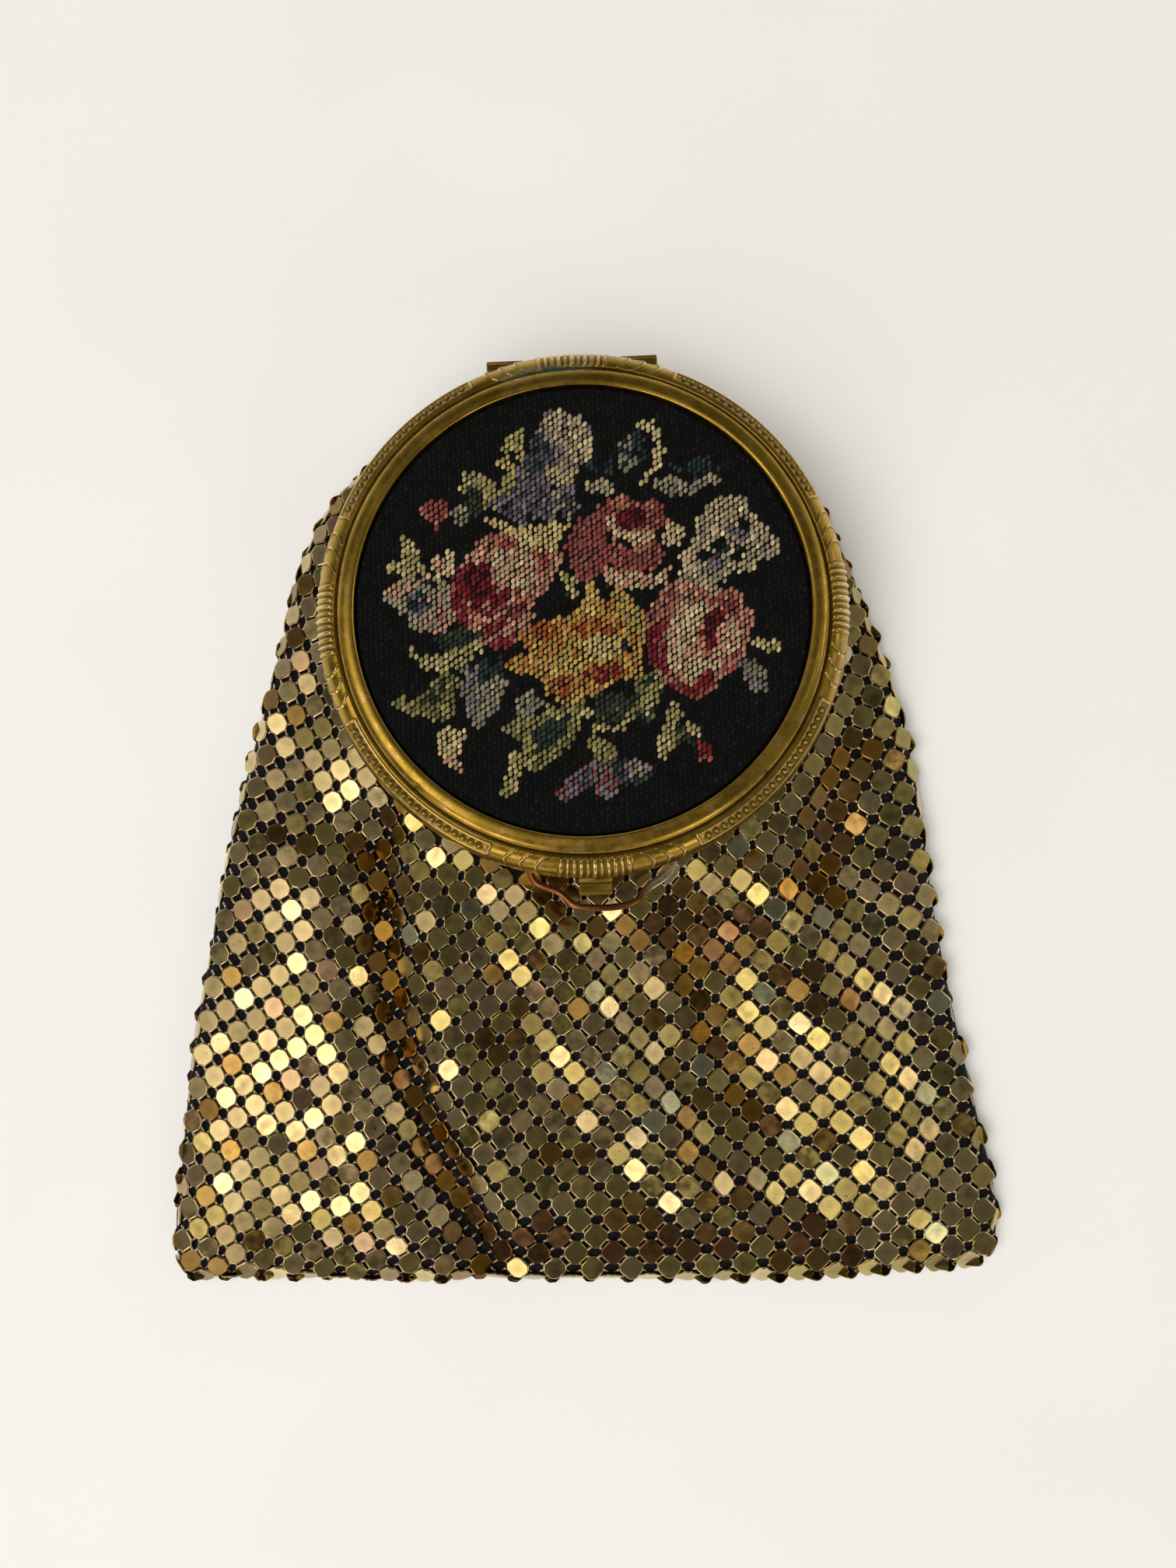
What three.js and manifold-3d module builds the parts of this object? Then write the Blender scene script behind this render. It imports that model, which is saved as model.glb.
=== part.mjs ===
// A round brass vanity compact that closes the mouth of a metal-mesh pouch.
// It lies on its back with the lid up. Millimetres, +Z up, +Y towards the hinges, the floor at z = 0.
import * as THREE from "three";
import { mergeVertices } from "three/addons/utils/BufferGeometryUtils.js";
import Module from "manifold-3d";

const wasm = await Module();
wasm.setup();

// Driving dimensions
const pieceGap = 0.3; // left between pieces that touch
const roundSteps = 48; // facets round the compact

const lidRadius = 38;
const lidHeight = 5;
const lidWall = 0.8;
const bandWidth = 2.75; // ornamental band, from the lid's edge to the groove
const bandDrop = 3.2;
const grooveWidth = 0.3;
const grooveDepth = 0.25;
const bezelWidth = 2.55; // smooth ring between the groove and the needlework
const bezelRise = 0.9;
const reliefHeight = 0.28; // of the raised ornament on the band
const panelThickness = 0.5; // needlework cloth
const panelRecess = 0.5; // below the bezel's crest
const mirrorThickness = 1.2;

const caseSetback = 0.8; // the case's side behind the lid's edge
const caseHeight = 5.6;
const caseWall = 1;
const caseFloor = 1;
const collarRise = 0.7; // rim that enters the lid

const ringSetback = 0.4; // the pouch ring's side behind the lid's edge
const ringWidth = 3.8;
const ringHeight = 2.4;

const knuckleRadius = 1.4;
const pinRadius = 0.5;
const hingeLength = 25;
const lugWidth = 5.4;
const hingeFlatDepth = 3.1; // how far the hinge is let into the lid's radius
const hingeWallThickness = 1;

const catchWidth = 4.8;
const catchThickness = 0.9;
const catchReach = 2.7; // past the lid's edge
const catchDrop = 2.6;

const loopWireRadius = 0.5;
const loopHalfWidth = 10;
const loopDepth = 4.2; // past the lid's edge
const loopLevel = 0.35; // share of the case's height

const pouchMouthHeight = 8; // the ring's seat above the floor
const pouchWall = 1.5;
const mouthSetback = 1; // the mouth's outer edge inside the ring's
const pouchLength = 98.3; // from the compact's centre to the bottom edge
const pouchHalfWidth = 61.9;
const pouchLean = -3.7; // sideways, at the bottom edge
const pouchEdgeHeight = 2; // middle of the rolled edge
const foldHeight = 2.6;
const foldWidth = 5;

// The outline round the compact's back, as angles in degrees and shares of the mouth's radius
const backOutline = [
  { angle: 14, reach: 1.165 },
  { angle: 30, reach: 1.165 },
  { angle: 60, reach: 1.1 },
  { angle: 90, reach: 1.055 },
  { angle: 120, reach: 1.11 },
  { angle: 148, reach: 1.215 },
  { angle: 164, reach: 1.25 },
];

// The two sides, from the compact down: along is a share of pouchLength,
// left and right are shares of the way from the mouth's radius to pouchHalfWidth
const sideOutline = [
  { along: -0.01, left: 0.42, right: 0.31 },
  { along: 0.14, left: 0.57, right: 0.5 },
  { along: 0.3, left: 0.715, right: 0.61 },
  { along: 0.46, left: 0.82, right: 0.67 },
  { along: 0.62, left: 0.92, right: 0.77 },
  { along: 0.8, left: 0.975, right: 0.91 },
  { along: 0.91, left: 1, right: 0.985 },
];

// The bottom edge, from left to right, in shares of pouchHalfWidth and pouchLength
const bottomOutline = [
  { across: -0.975, along: 0.953 },
  { across: -0.78, along: 0.964 },
  { across: -0.5, along: 0.975 },
  { across: -0.02, along: 0.989 },
  { across: 0.22, along: 0.996 },
  { across: 0.54, along: 1 },
  { across: 0.73, along: 0.996 },
  { across: 0.965, along: 0.982 },
];

// Height of the upper sheet from the mouth to the outline: way is the share of that path,
// level is the share of the drop from the mouth to the edge that is left
const sheetProfile = [
  { way: 0, level: 1 },
  { way: 0.06, level: 0.93 },
  { way: 0.15, level: 0.8 },
  { way: 0.26, level: 0.68 },
  { way: 0.38, level: 0.6 },
  { way: 0.5, level: 0.56 },
  { way: 0.62, level: 0.53 },
  { way: 0.74, level: 0.5 },
  { way: 0.86, level: 0.46 },
  { way: 0.95, level: 0.34 },
  { way: 1, level: 0 },
];

// Main folds: ridges and valleys, each along a route of [x, y] in shares of pouchHalfWidth and
// of pouchLength (from the compact's centre down), with shares of foldHeight and foldWidth
const folds = [
  {
    name: "left_ridge", rise: 0.6, width: 1.5,
    route: [[-0.74, 0.36], [-0.62, 0.62], [-0.5, 0.9]],
  },
  {
    name: "left_valley", rise: -0.75, width: 0.75,
    route: [[-0.53, 0.3], [-0.51, 0.56], [-0.42, 0.76], [-0.28, 0.93]],
  },
  {
    name: "inner_ridge", rise: 0.75, width: 0.9,
    route: [[-0.4, 0.42], [-0.36, 0.68], [-0.2, 0.9]],
  },
  {
    name: "centre_ridge", rise: 1, width: 0.9,
    route: [[-0.16, 0.4], [0, 0.62], [0.2, 0.84]],
  },
  {
    name: "centre_valley", rise: -0.5, width: 0.7,
    route: [[0.02, 0.45], [0.14, 0.64], [0.3, 0.82]],
  },
  {
    name: "right_valley", rise: -0.6, width: 0.9,
    route: [[0.22, 0.42], [0.32, 0.64], [0.44, 0.88]],
  },
  {
    name: "right_ridge", rise: 0.9, width: 1.1,
    route: [[0.4, 0.4], [0.56, 0.62], [0.7, 0.88]],
  },
  {
    name: "side_valley", rise: -0.4, width: 0.9,
    route: [[0.62, 0.34], [0.72, 0.56], [0.8, 0.76]],
  },
  {
    name: "foot_ridge", rise: 0.5, width: 0.9,
    route: [[0.28, 0.86], [0.5, 0.97]],
  },
];

// Worked-out sizes
const bandFoot = lidHeight - bezelRise - bandDrop; // the band's lower edge over the lid's underside
const grooveRadius = lidRadius - bandWidth;
const bezelOuterRadius = grooveRadius - grooveWidth;
const openingRadius = bezelOuterRadius - bezelWidth;
const panelSeat = lidHeight - panelRecess - panelThickness - pieceGap;
const caseRadius = lidRadius - caseSetback;
const ringRadius = lidRadius - ringSetback;
const mouthRadius = ringRadius - mouthSetback;
const ringBase = pouchMouthHeight + pieceGap;
const caseBase = ringBase + ringHeight + pieceGap;
const lidBase = caseBase + caseHeight + pieceGap;
const hingeFlat = lidRadius - hingeFlatDepth;
const hingeAxisY = hingeFlat + pieceGap + knuckleRadius;
const lidHingeLevel = caseBase + caseHeight - pieceGap - knuckleRadius;
const caseHingeLevel = caseBase;
const boreRadius = pinRadius + pieceGap;
const caseKnuckleLength = hingeLength - 2 * (lugWidth + pieceGap);

const brass = { color: 0xb08d45, roughness: 0.32, metalness: 1 };
const finishes = {
  lid: new THREE.MeshStandardMaterial(brass),
  cloth: new THREE.MeshStandardMaterial({ color: 0x1b1618, roughness: 0.9, metalness: 0 }),
  mirror: new THREE.MeshStandardMaterial({ color: 0xd8dde0, roughness: 0.03, metalness: 1 }),
  case: new THREE.MeshStandardMaterial({ ...brass, color: 0xa98a4a, roughness: 0.38 }),
  wire: new THREE.MeshStandardMaterial({ ...brass, color: 0x7d4a25 }),
  ring: new THREE.MeshStandardMaterial({ ...brass, color: 0x9d8043 }),
  mesh: new THREE.MeshStandardMaterial({ ...brass, color: 0x9c8a55 }),
  pin: new THREE.MeshStandardMaterial({ ...brass, color: 0x8d7440 }),
};

// Solids and booleans

// A closed geometry as a solid, with shared vertices merged and collapsed faces left out
function solidFrom(geometry) {
  const bare = geometry.clone();
  bare.deleteAttribute("normal");
  bare.deleteAttribute("uv");
  const merged = mergeVertices(bare, 1e-4);
  const corners = Array.from(merged.index.array);
  const kept = [];
  for (let i = 0; i < corners.length; i += 3) {
    const [a, b, c] = corners.slice(i, i + 3);
    if (a !== b && b !== c && c !== a) kept.push(a, b, c);
  }
  const mesh = new wasm.Mesh({
    numProp: 3,
    vertProperties: new Float32Array(merged.attributes.position.array),
    triVerts: new Uint32Array(kept),
  });
  return new wasm.Manifold(mesh);
}

function geometryFrom(solid) {
  const mesh = solid.getMesh();
  const geometry = new THREE.BufferGeometry();
  geometry.setAttribute("position", new THREE.BufferAttribute(mesh.vertProperties, 3));
  geometry.setIndex(new THREE.BufferAttribute(mesh.triVerts, 1));
  return geometry;
}

// A profile of [radius, height] pairs turned round the Z axis
function turned(profile) {
  const points = profile.map(([radius, height]) => new THREE.Vector2(radius, height));
  return new THREE.LatheGeometry(points, roundSteps).rotateX(Math.PI / 2);
}

function boxBetween(low, high) {
  const size = high.map((value, axis) => value - low[axis]);
  const middle = high.map((value, axis) => (value + low[axis]) / 2);
  return new THREE.BoxGeometry(...size).translate(...middle);
}

function disc(radius, thickness, base) {
  return new THREE.CylinderGeometry(radius, radius, thickness, roundSteps)
    .rotateX(Math.PI / 2)
    .translate(0, 0, base + thickness / 2);
}

// A round bar along X through a hinge
function hingeBar(radius, length, middleX, level, steps = 12) {
  return new THREE.CylinderGeometry(radius, radius, length, steps)
    .rotateZ(Math.PI / 2)
    .translate(middleX, hingeAxisY, level);
}

function radiansOf(degrees) {
  return (degrees * Math.PI) / 180;
}

// Hinge knuckles: a barrel along X with a plate that reaches from it to its piece
function knuckle(middleX, length, level, plateLow, plateHigh) {
  const half = length / 2;
  const barrel = solidFrom(hingeBar(knuckleRadius, length, middleX, level));
  const plate = boxBetween(
    [middleX - half, plateLow[0], plateLow[1]],
    [middleX + half, plateHigh[0], plateHigh[1]],
  );
  const bore = hingeBar(boreRadius, length + 2, middleX, level, 8);
  return barrel.add(solidFrom(plate)).subtract(solidFrom(bore));
}

const lugCentres = [-1, 1].map((side) => (side * (hingeLength - lugWidth)) / 2);

// The ornamental band: a quarter ellipse from the lid's edge up to the groove
function bandPoint(angle, share, lift) {
  const turn = (share * Math.PI) / 2;
  const normal = new THREE.Vector2(Math.cos(turn) / bandWidth, Math.sin(turn) / bandDrop).normalize();
  const radius = grooveRadius + bandWidth * Math.cos(turn) + normal.x * lift;
  const height = bandFoot + bandDrop * Math.sin(turn) + normal.y * lift;
  return new THREE.Vector3(radius * Math.cos(angle), radius * Math.sin(angle), height);
}

// A raised line on the band through [degrees, share] pairs
function raisedLine(pairs, width, steps) {
  const points = pairs.map(([degrees, share]) => bandPoint(radiansOf(degrees), share, 0));
  const path = new THREE.CatmullRomCurve3(points);
  const section = new THREE.Shape();
  section.moveTo(width, 0);
  section.lineTo(-width / 2, width);
  section.lineTo(-width / 2, -width);
  return solidFrom(new THREE.ExtrudeGeometry(section, { steps, bevelEnabled: false, extrudePath: path }));
}

// A raised dot on the band
function bead(degrees, share, radius) {
  const angle = radiansOf(degrees);
  const foot = bandPoint(angle, share, -reliefHeight);
  const top = bandPoint(angle, share, reliefHeight);
  const stud = new THREE.CylinderGeometry(radius * 0.6, radius, foot.distanceTo(top), 4);
  const upright = new THREE.Vector3(0, 1, 0);
  const turn = new THREE.Quaternion().setFromUnitVectors(upright, top.clone().sub(foot).normalize());
  stud.applyQuaternion(turn);
  const middle = foot.clone().add(top).divideScalar(2);
  return solidFrom(stud.translate(middle.x, middle.y, middle.z));
}

// The band's ornament repeats in each quarter: ribs with nested crescents on both sides, then a
// beaded panel
const quarterAngle = 90; // degrees
const ribsInGroup = 11;
const ribPitch = 1.5; // degrees
const ribWidth = 0.3;
const crescentAngles = [13, 16.5, 20]; // from the middle of the ribs
const crescentBulge = 2.6; // degrees
const beadsInPanel = 20;
const panelHalfAngle = 20;
const beadRadius = 0.42;
const beadShare = 0.67; // how far up the band the beads stand
const raisedLineWidth = 0.24;

function bandOrnament() {
  const pieces = [];
  for (let quarter = 0; quarter < 4; quarter += 1) {
    const start = quarter * quarterAngle;
    for (let i = 0; i < ribsInGroup; i += 1) {
      const angle = start + (i - (ribsInGroup - 1) / 2) * ribPitch;
      pieces.push(raisedLine([[angle, 0.18], [angle, 0.5], [angle, 0.86]], ribWidth, 2));
    }
    for (const side of [-1, 1]) {
      for (const angle of crescentAngles) {
        const ends = start + side * (angle - crescentBulge);
        const crest = start + side * angle;
        pieces.push(raisedLine([[ends, 0.06], [crest, 0.5], [ends, 0.94]], raisedLineWidth, 3));
      }
    }
    const panelMiddle = start + quarterAngle / 2;
    for (let i = 0; i < beadsInPanel; i += 1) {
      const share = (2 * i + 1) / beadsInPanel - 1;
      pieces.push(bead(panelMiddle + share * panelHalfAngle, beadShare, beadRadius));
    }
  }
  return pieces;
}

// The lid's shell: underside, edge, band, groove, bezel, and the seat of the needlework
function lidShell() {
  const bandSteps = 2;
  const band = [];
  for (let i = 0; i <= bandSteps; i += 1) {
    const point = bandPoint(0, i / bandSteps, 0);
    band.push([point.x, point.z]);
  }
  const bandTop = bandFoot + bandDrop;
  const ceiling = panelSeat - lidWall;
  return solidFrom(
    turned([
      [0, ceiling],
      [grooveRadius - lidWall, ceiling],
      [lidRadius - lidWall, bandFoot],
      [lidRadius - lidWall, 0],
      [lidRadius, 0],
      ...band,
      [grooveRadius - grooveWidth / 2, bandTop - grooveDepth],
      [bezelOuterRadius, bandTop],
      [bezelOuterRadius - bezelWidth * 0.3, bandTop + bezelRise * 0.75],
      [bezelOuterRadius - bezelWidth * 0.65, lidHeight],
      [openingRadius, lidHeight - 0.1],
      [openingRadius, panelSeat],
      [0, panelSeat],
    ]),
  );
}

// The thumb catch: a strip that drops from the lid's front edge and turns outwards
function thumbCatch() {
  const half = catchWidth / 2;
  const root = boxBetween(
    [-half, -lidRadius - catchThickness, -catchDrop],
    [half, -lidRadius + lidWall / 2, bandFoot],
  );
  const lip = boxBetween(
    [-half, -lidRadius - catchReach, -catchDrop],
    [half, -lidRadius, catchThickness - catchDrop],
  );
  const clearOfCase = boxBetween(
    [-catchWidth, -lidRadius, -catchDrop - 1],
    [catchWidth, -lidRadius + lidWall, 0],
  );
  return solidFrom(root).add(solidFrom(lip)).subtract(solidFrom(clearOfCase));
}

function lidLug(middleX) {
  const level = lidHingeLevel - lidBase;
  const plateLow = [hingeAxisY - knuckleRadius * 0.7, level];
  const plateHigh = [hingeAxisY + knuckleRadius * 0.5, bandFoot];
  return knuckle(middleX, lugWidth, level, plateLow, plateHigh);
}

// Bridges each lug to the lid's edge, which curves away from the hinge line
function lugBridge(middleX) {
  const half = lugWidth / 2;
  return solidFrom(
    boxBetween(
      [middleX - half, hingeFlat + pieceGap, 0],
      [middleX + half, hingeAxisY + knuckleRadius * 0.5, bandFoot],
    ),
  );
}

function compactLid() {
  let solid = lidShell().add(thumbCatch());
  for (const middleX of lugCentres) solid = solid.add(lidLug(middleX)).add(lugBridge(middleX));
  for (const piece of bandOrnament()) solid = solid.add(piece);
  return geometryFrom(solid);
}

function needleworkPanel() {
  return disc(openingRadius - pieceGap, panelThickness, panelSeat + pieceGap);
}

function lidMirror() {
  const radius = grooveRadius - lidWall - pieceGap;
  return disc(radius, mirrorThickness, panelSeat - lidWall - pieceGap - mirrorThickness);
}

// The powder case: a round tray with a collar and a flat at the back for both hinges
function powderCase() {
  const inner = caseRadius - caseWall;
  const collarInner = inner - caseWall;
  const tray = solidFrom(
    turned([
      [0, 0],
      [caseRadius - caseFloor / 2, 0],
      [caseRadius, caseFloor / 2],
      [caseRadius, caseHeight],
      [inner - pieceGap, caseHeight],
      [inner - pieceGap, caseHeight + collarRise],
      [collarInner, caseHeight + collarRise],
      [collarInner, caseFloor],
      [0, caseFloor],
    ]),
  );
  const envelope = solidFrom(disc(inner, caseHeight, 0));
  const wallLow = [-hingeLength / 2 - hingeWallThickness, hingeFlat - hingeWallThickness, 0];
  const wallHigh = [hingeLength / 2 + hingeWallThickness, lidRadius, caseHeight];
  const wall = solidFrom(boxBetween(wallLow, wallHigh)).intersect(envelope);
  const recess = solidFrom(
    boxBetween([-lidRadius, hingeFlat, -1], [lidRadius, lidRadius + 1, caseHeight + collarRise + 1]),
  );
  const front = hingeFlat - hingeWallThickness / 2;
  const upperLevel = lidHingeLevel - caseBase;
  const lowerLevel = caseHingeLevel - caseBase;
  const half = knuckleRadius * 0.7;
  const upperLow = [front, upperLevel - half];
  const upperHigh = [hingeAxisY, upperLevel + half];
  const upper = knuckle(0, caseKnuckleLength, upperLevel, upperLow, upperHigh);
  const lower = knuckle(0, caseKnuckleLength, lowerLevel, [front, 0], [hingeAxisY, half]);
  return geometryFrom(tray.add(wall).subtract(recess).add(upper).add(lower));
}

function pouchRing() {
  const inner = ringRadius - ringWidth;
  const ring = solidFrom(
    turned([
      [inner, 0],
      [ringRadius, 0],
      [ringRadius, ringHeight],
      [inner, ringHeight],
      [inner, 0],
    ]),
  );
  const level = caseHingeLevel - ringBase;
  const behindLow = [-lidRadius, hingeFlat, -1];
  const behindHigh = [lidRadius, lidRadius + 1, ringHeight + 1];
  const flat = solidFrom(boxBetween(behindLow, behindHigh));
  let solid = ring.subtract(flat);
  for (const middleX of lugCentres) {
    const plateLow = [hingeFlat - ringWidth / 4, 0];
    const plateHigh = [hingeAxisY, ringHeight];
    solid = solid.add(knuckle(middleX, lugWidth, level, plateLow, plateHigh));
  }
  return geometryFrom(solid);
}

// The lift loop: a bent wire whose ends butt against the case's front, points in shares of
// loopHalfWidth from the middle and of loopDepth past the lid's edge
const loopRoute = [
  { across: -0.96, past: -0.42 },
  { across: -0.86, past: 0.05 },
  { across: -0.54, past: 0.42 },
  { across: -0.32, past: 0.88 },
  { across: -0.12, past: 1 },
  { across: 0.34, past: 1 },
  { across: 0.56, past: 0.86 },
  { across: 0.76, past: 0.4 },
  { across: 1.06, past: -0.1 },
  { across: 1.16, past: -0.62 },
];

function liftLoop() {
  const level = caseBase + caseHeight * loopLevel;
  const points = loopRoute.map(({ across, past }) => {
    return new THREE.Vector3(across * loopHalfWidth, -lidRadius - past * loopDepth, level);
  });
  const path = new THREE.CatmullRomCurve3(points, false, "centripetal");
  const section = new THREE.Shape();
  section.absarc(0, 0, loopWireRadius, 0, 2 * Math.PI);
  const wire = new THREE.ExtrudeGeometry(section, {
    steps: 26,
    curveSegments: 3,
    bevelEnabled: false,
    extrudePath: path,
  });
  const caseSpace = disc(caseRadius + pieceGap, caseHeight * 2, caseBase - caseHeight / 2);
  return geometryFrom(solidFrom(wire).subtract(solidFrom(caseSpace)));
}

// The mesh pouch: a polar grid round the compact's centre, for the outer and the inner skin

function outlinePoints() {
  const spread = pouchHalfWidth - mouthRadius;
  const back = backOutline.map(({ angle, reach }) => {
    const radius = reach * mouthRadius;
    return [radius * Math.cos(radiansOf(angle)), radius * Math.sin(radiansOf(angle))];
  });
  const left = sideOutline.map((row) => [
    -(mouthRadius + spread * row.left) + pouchLean * row.along,
    -pouchLength * row.along,
  ]);
  const bottom = bottomOutline.map((row) => [
    pouchHalfWidth * row.across + pouchLean * row.along,
    -pouchLength * row.along,
  ]);
  const right = [...sideOutline].reverse().map((row) => [
    mouthRadius + spread * row.right + pouchLean * row.along,
    -pouchLength * row.along,
  ]);
  return [...back, ...left, ...bottom, ...right];
}

// The outline as a radius for each angle, from a fine sampling of its smooth curve
function polarOutline() {
  const points = outlinePoints().map(([x, y]) => new THREE.Vector3(x, y, 0));
  const curve = new THREE.CatmullRomCurve3(points, true, "centripetal");
  const samples = curve.getPoints(900).slice(0, -1);
  const rows = samples.map((point) => ({
    angle: Math.atan2(point.y, point.x),
    radius: Math.hypot(point.x, point.y),
  }));
  rows.sort((a, b) => a.angle - b.angle);
  return (angle) => {
    const wrapped = Math.atan2(Math.sin(angle), Math.cos(angle));
    const next = rows.findIndex((row) => row.angle >= wrapped);
    const high = next < 0 ? 0 : next;
    const low = (high + rows.length - 1) % rows.length;
    const span = rows[high].angle - rows[low].angle;
    const share = next <= 0 || span === 0 ? 0 : (wrapped - rows[low].angle) / span;
    return rows[low].radius + (rows[high].radius - rows[low].radius) * share;
  };
}

function levelAt(way) {
  const high = Math.max(1, sheetProfile.findIndex((row) => row.way >= way));
  const before = sheetProfile[high - 1];
  const after = sheetProfile[high];
  const share = (way - before.way) / (after.way - before.way);
  return before.level + (after.level - before.level) * share;
}

// How far a point lies from a fold's route
function distanceFrom(route, point) {
  const corners = route.map(([x, y]) => new THREE.Vector2(x * pouchHalfWidth, -y * pouchLength));
  const distances = corners.slice(1).map((end, i) => {
    const run = end.clone().sub(corners[i]);
    const away = point.clone().sub(corners[i]);
    const share = Math.min(1, Math.max(0, away.dot(run) / run.lengthSq()));
    return away.distanceTo(run.multiplyScalar(share));
  });
  return Math.min(...distances);
}

// Height that the folds add at a point
function foldsAt(x, y) {
  const point = new THREE.Vector2(x, y);
  let total = 0;
  for (const { rise, width, route } of folds) {
    const spread = distanceFrom(route, point) / (width * foldWidth);
    total += rise * foldHeight * Math.exp(-(spread ** 2));
  }
  return total;
}

// The upper sheet's height on the way from the mouth (0) to the outline (1)
function sheetHeight(x, y, way) {
  const base = pouchEdgeHeight + (pouchMouthHeight - pouchEdgeHeight) * levelAt(way);
  const fade = Math.min(1, way / 0.15) * Math.min(1, (1 - way) / 0.12);
  return base + foldsAt(x, y) * fade;
}

const pouchColumns = 58;

// Angles of the grid's columns: they stand closer together at the front, where the folds are,
// and the nearest column to each bottom corner is moved onto it
function columnAngles() {
  const angles = Array.from({ length: pouchColumns }, (_, column) => {
    const side = (2 * column) / pouchColumns - 1;
    return -Math.PI / 2 + Math.PI * side * (0.55 + 0.45 * side * side);
  });
  const corners = bottomOutline.filter((row, i) => i === 0 || i === bottomOutline.length - 1);
  for (const row of corners) {
    const acrossHere = pouchHalfWidth * row.across + pouchLean * row.along;
    const corner = Math.atan2(-pouchLength * row.along, acrossHere);
    const gaps = angles.map((angle) => Math.abs(angle - corner));
    angles[gaps.indexOf(Math.min(...gaps))] = corner;
  }
  return angles;
}

// One skin, as rows of points from the mouth over the edge to the middle of the underside
function pouchSkin(outline, inset) {
  const columns = columnAngles();
  const floor = inset;
  const edge = columns.map((angle) => outline(angle) - inset);
  const ringOf = (place) => columns.map((angle, i) => {
    const { radius, height } = place(edge[i], angle);
    return new THREE.Vector3(radius * Math.cos(angle), radius * Math.sin(angle), height);
  });
  const rows = sheetProfile.map(({ way }) => ringOf((reach, angle) => {
    const start = mouthRadius - inset;
    const radius = start + (reach - start) * way;
    const outer = sheetHeight(radius * Math.cos(angle), radius * Math.sin(angle), way);
    const drop = way === 0 || way === 1 ? 0 : inset;
    return { radius, height: Math.max(outer - drop, floor + pieceGap) };
  }));
  rows.push(ringOf((reach) => ({ radius: reach - pouchEdgeHeight, height: floor })));
  rows.push(ringOf((reach) => ({ radius: reach / 2, height: floor })));
  return { rows, centre: new THREE.Vector3(0, 0, floor) };
}

function meshPouch() {
  const outline = polarOutline();
  const skins = [pouchSkin(outline, 0), pouchSkin(outline, pouchWall)];
  const positions = [];
  const faces = [];
  const firstOf = skins.map(({ rows, centre }) => {
    const first = positions.length / 3;
    for (const point of [...rows.flat(), centre]) positions.push(point.x, point.y, point.z);
    return first;
  });
  const face = (flip, a, b, c) => faces.push(...(flip ? [a, c, b] : [a, b, c]));
  skins.forEach(({ rows }, skin) => {
    const at = (row, column) => firstOf[skin] + row * pouchColumns + (column % pouchColumns);
    const centre = firstOf[skin] + rows.length * pouchColumns;
    for (let column = 0; column < pouchColumns; column += 1) {
      for (let row = 0; row + 1 < rows.length; row += 1) {
        face(skin === 1, at(row, column), at(row + 1, column), at(row + 1, column + 1));
        face(skin === 1, at(row, column), at(row + 1, column + 1), at(row, column + 1));
      }
      face(skin === 1, at(rows.length - 1, column), centre, at(rows.length - 1, column + 1));
    }
  });
  for (let column = 0; column < pouchColumns; column += 1) {
    const next = (column + 1) % pouchColumns;
    face(false, firstOf[0] + column, firstOf[0] + next, firstOf[1] + next);
    face(false, firstOf[0] + column, firstOf[1] + next, firstOf[1] + column);
  }
  const geometry = new THREE.BufferGeometry();
  geometry.setAttribute("position", new THREE.Float32BufferAttribute(positions, 3));
  geometry.setIndex(faces);
  return geometry;
}

// The assembly
const purse = new THREE.Group();

function addPiece(name, geometry, finish, height = 0) {
  const mesh = new THREE.Mesh(geometry, finish);
  mesh.name = name;
  mesh.position.z = height;
  purse.add(mesh);
  return mesh;
}

function hingePin(level) {
  return hingeBar(pinRadius, hingeLength, 0, level, 8);
}

addPiece("mesh_pouch", meshPouch(), finishes.mesh);
addPiece("pouch_ring", pouchRing(), finishes.ring, ringBase);
addPiece("powder_case", powderCase(), finishes.case, caseBase);
addPiece("lift_loop", liftLoop(), finishes.wire);
addPiece("compact_lid", compactLid(), finishes.lid, lidBase);
addPiece("needlework_panel", needleworkPanel(), finishes.cloth, lidBase);
addPiece("lid_mirror", lidMirror(), finishes.mirror, lidBase);
addPiece("lid_hinge_pin", hingePin(lidHingeLevel), finishes.pin);
addPiece("case_hinge_pin", hingePin(caseHingeLevel), finishes.pin);

// The origin is the middle of the floor under the whole purse
const reach = new THREE.Box3().setFromObject(purse);
purse.position.set(-(reach.min.x + reach.max.x) / 2, -(reach.min.y + reach.max.y) / 2, -reach.min.z);

export default purse;
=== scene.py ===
# Looks of the compact purse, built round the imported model.
# Lengths are millimetres in the compact's own frame (its centre over the origin, +Y towards the
# hinges, the floor at z = 0). mesh_piece turns them into metres in the row's frame.
import math

import bmesh
import bpy
import numpy as np
from mathutils import Matrix, Vector


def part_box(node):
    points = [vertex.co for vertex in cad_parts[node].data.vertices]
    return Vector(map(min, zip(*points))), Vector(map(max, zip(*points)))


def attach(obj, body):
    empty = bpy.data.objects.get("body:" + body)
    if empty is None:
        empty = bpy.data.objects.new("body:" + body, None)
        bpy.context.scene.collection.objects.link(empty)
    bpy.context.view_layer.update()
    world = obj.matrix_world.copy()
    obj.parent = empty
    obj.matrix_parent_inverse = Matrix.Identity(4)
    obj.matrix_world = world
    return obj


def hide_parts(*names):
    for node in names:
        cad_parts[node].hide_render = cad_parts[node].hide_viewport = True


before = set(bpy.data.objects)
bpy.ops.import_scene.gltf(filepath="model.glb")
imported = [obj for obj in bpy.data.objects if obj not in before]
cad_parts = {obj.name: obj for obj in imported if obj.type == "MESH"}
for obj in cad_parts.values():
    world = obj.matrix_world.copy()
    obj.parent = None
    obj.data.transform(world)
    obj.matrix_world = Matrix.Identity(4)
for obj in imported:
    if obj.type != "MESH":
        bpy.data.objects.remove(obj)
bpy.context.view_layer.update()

# Sizes repeated from the part's source
lid_radius = 38.0
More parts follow.
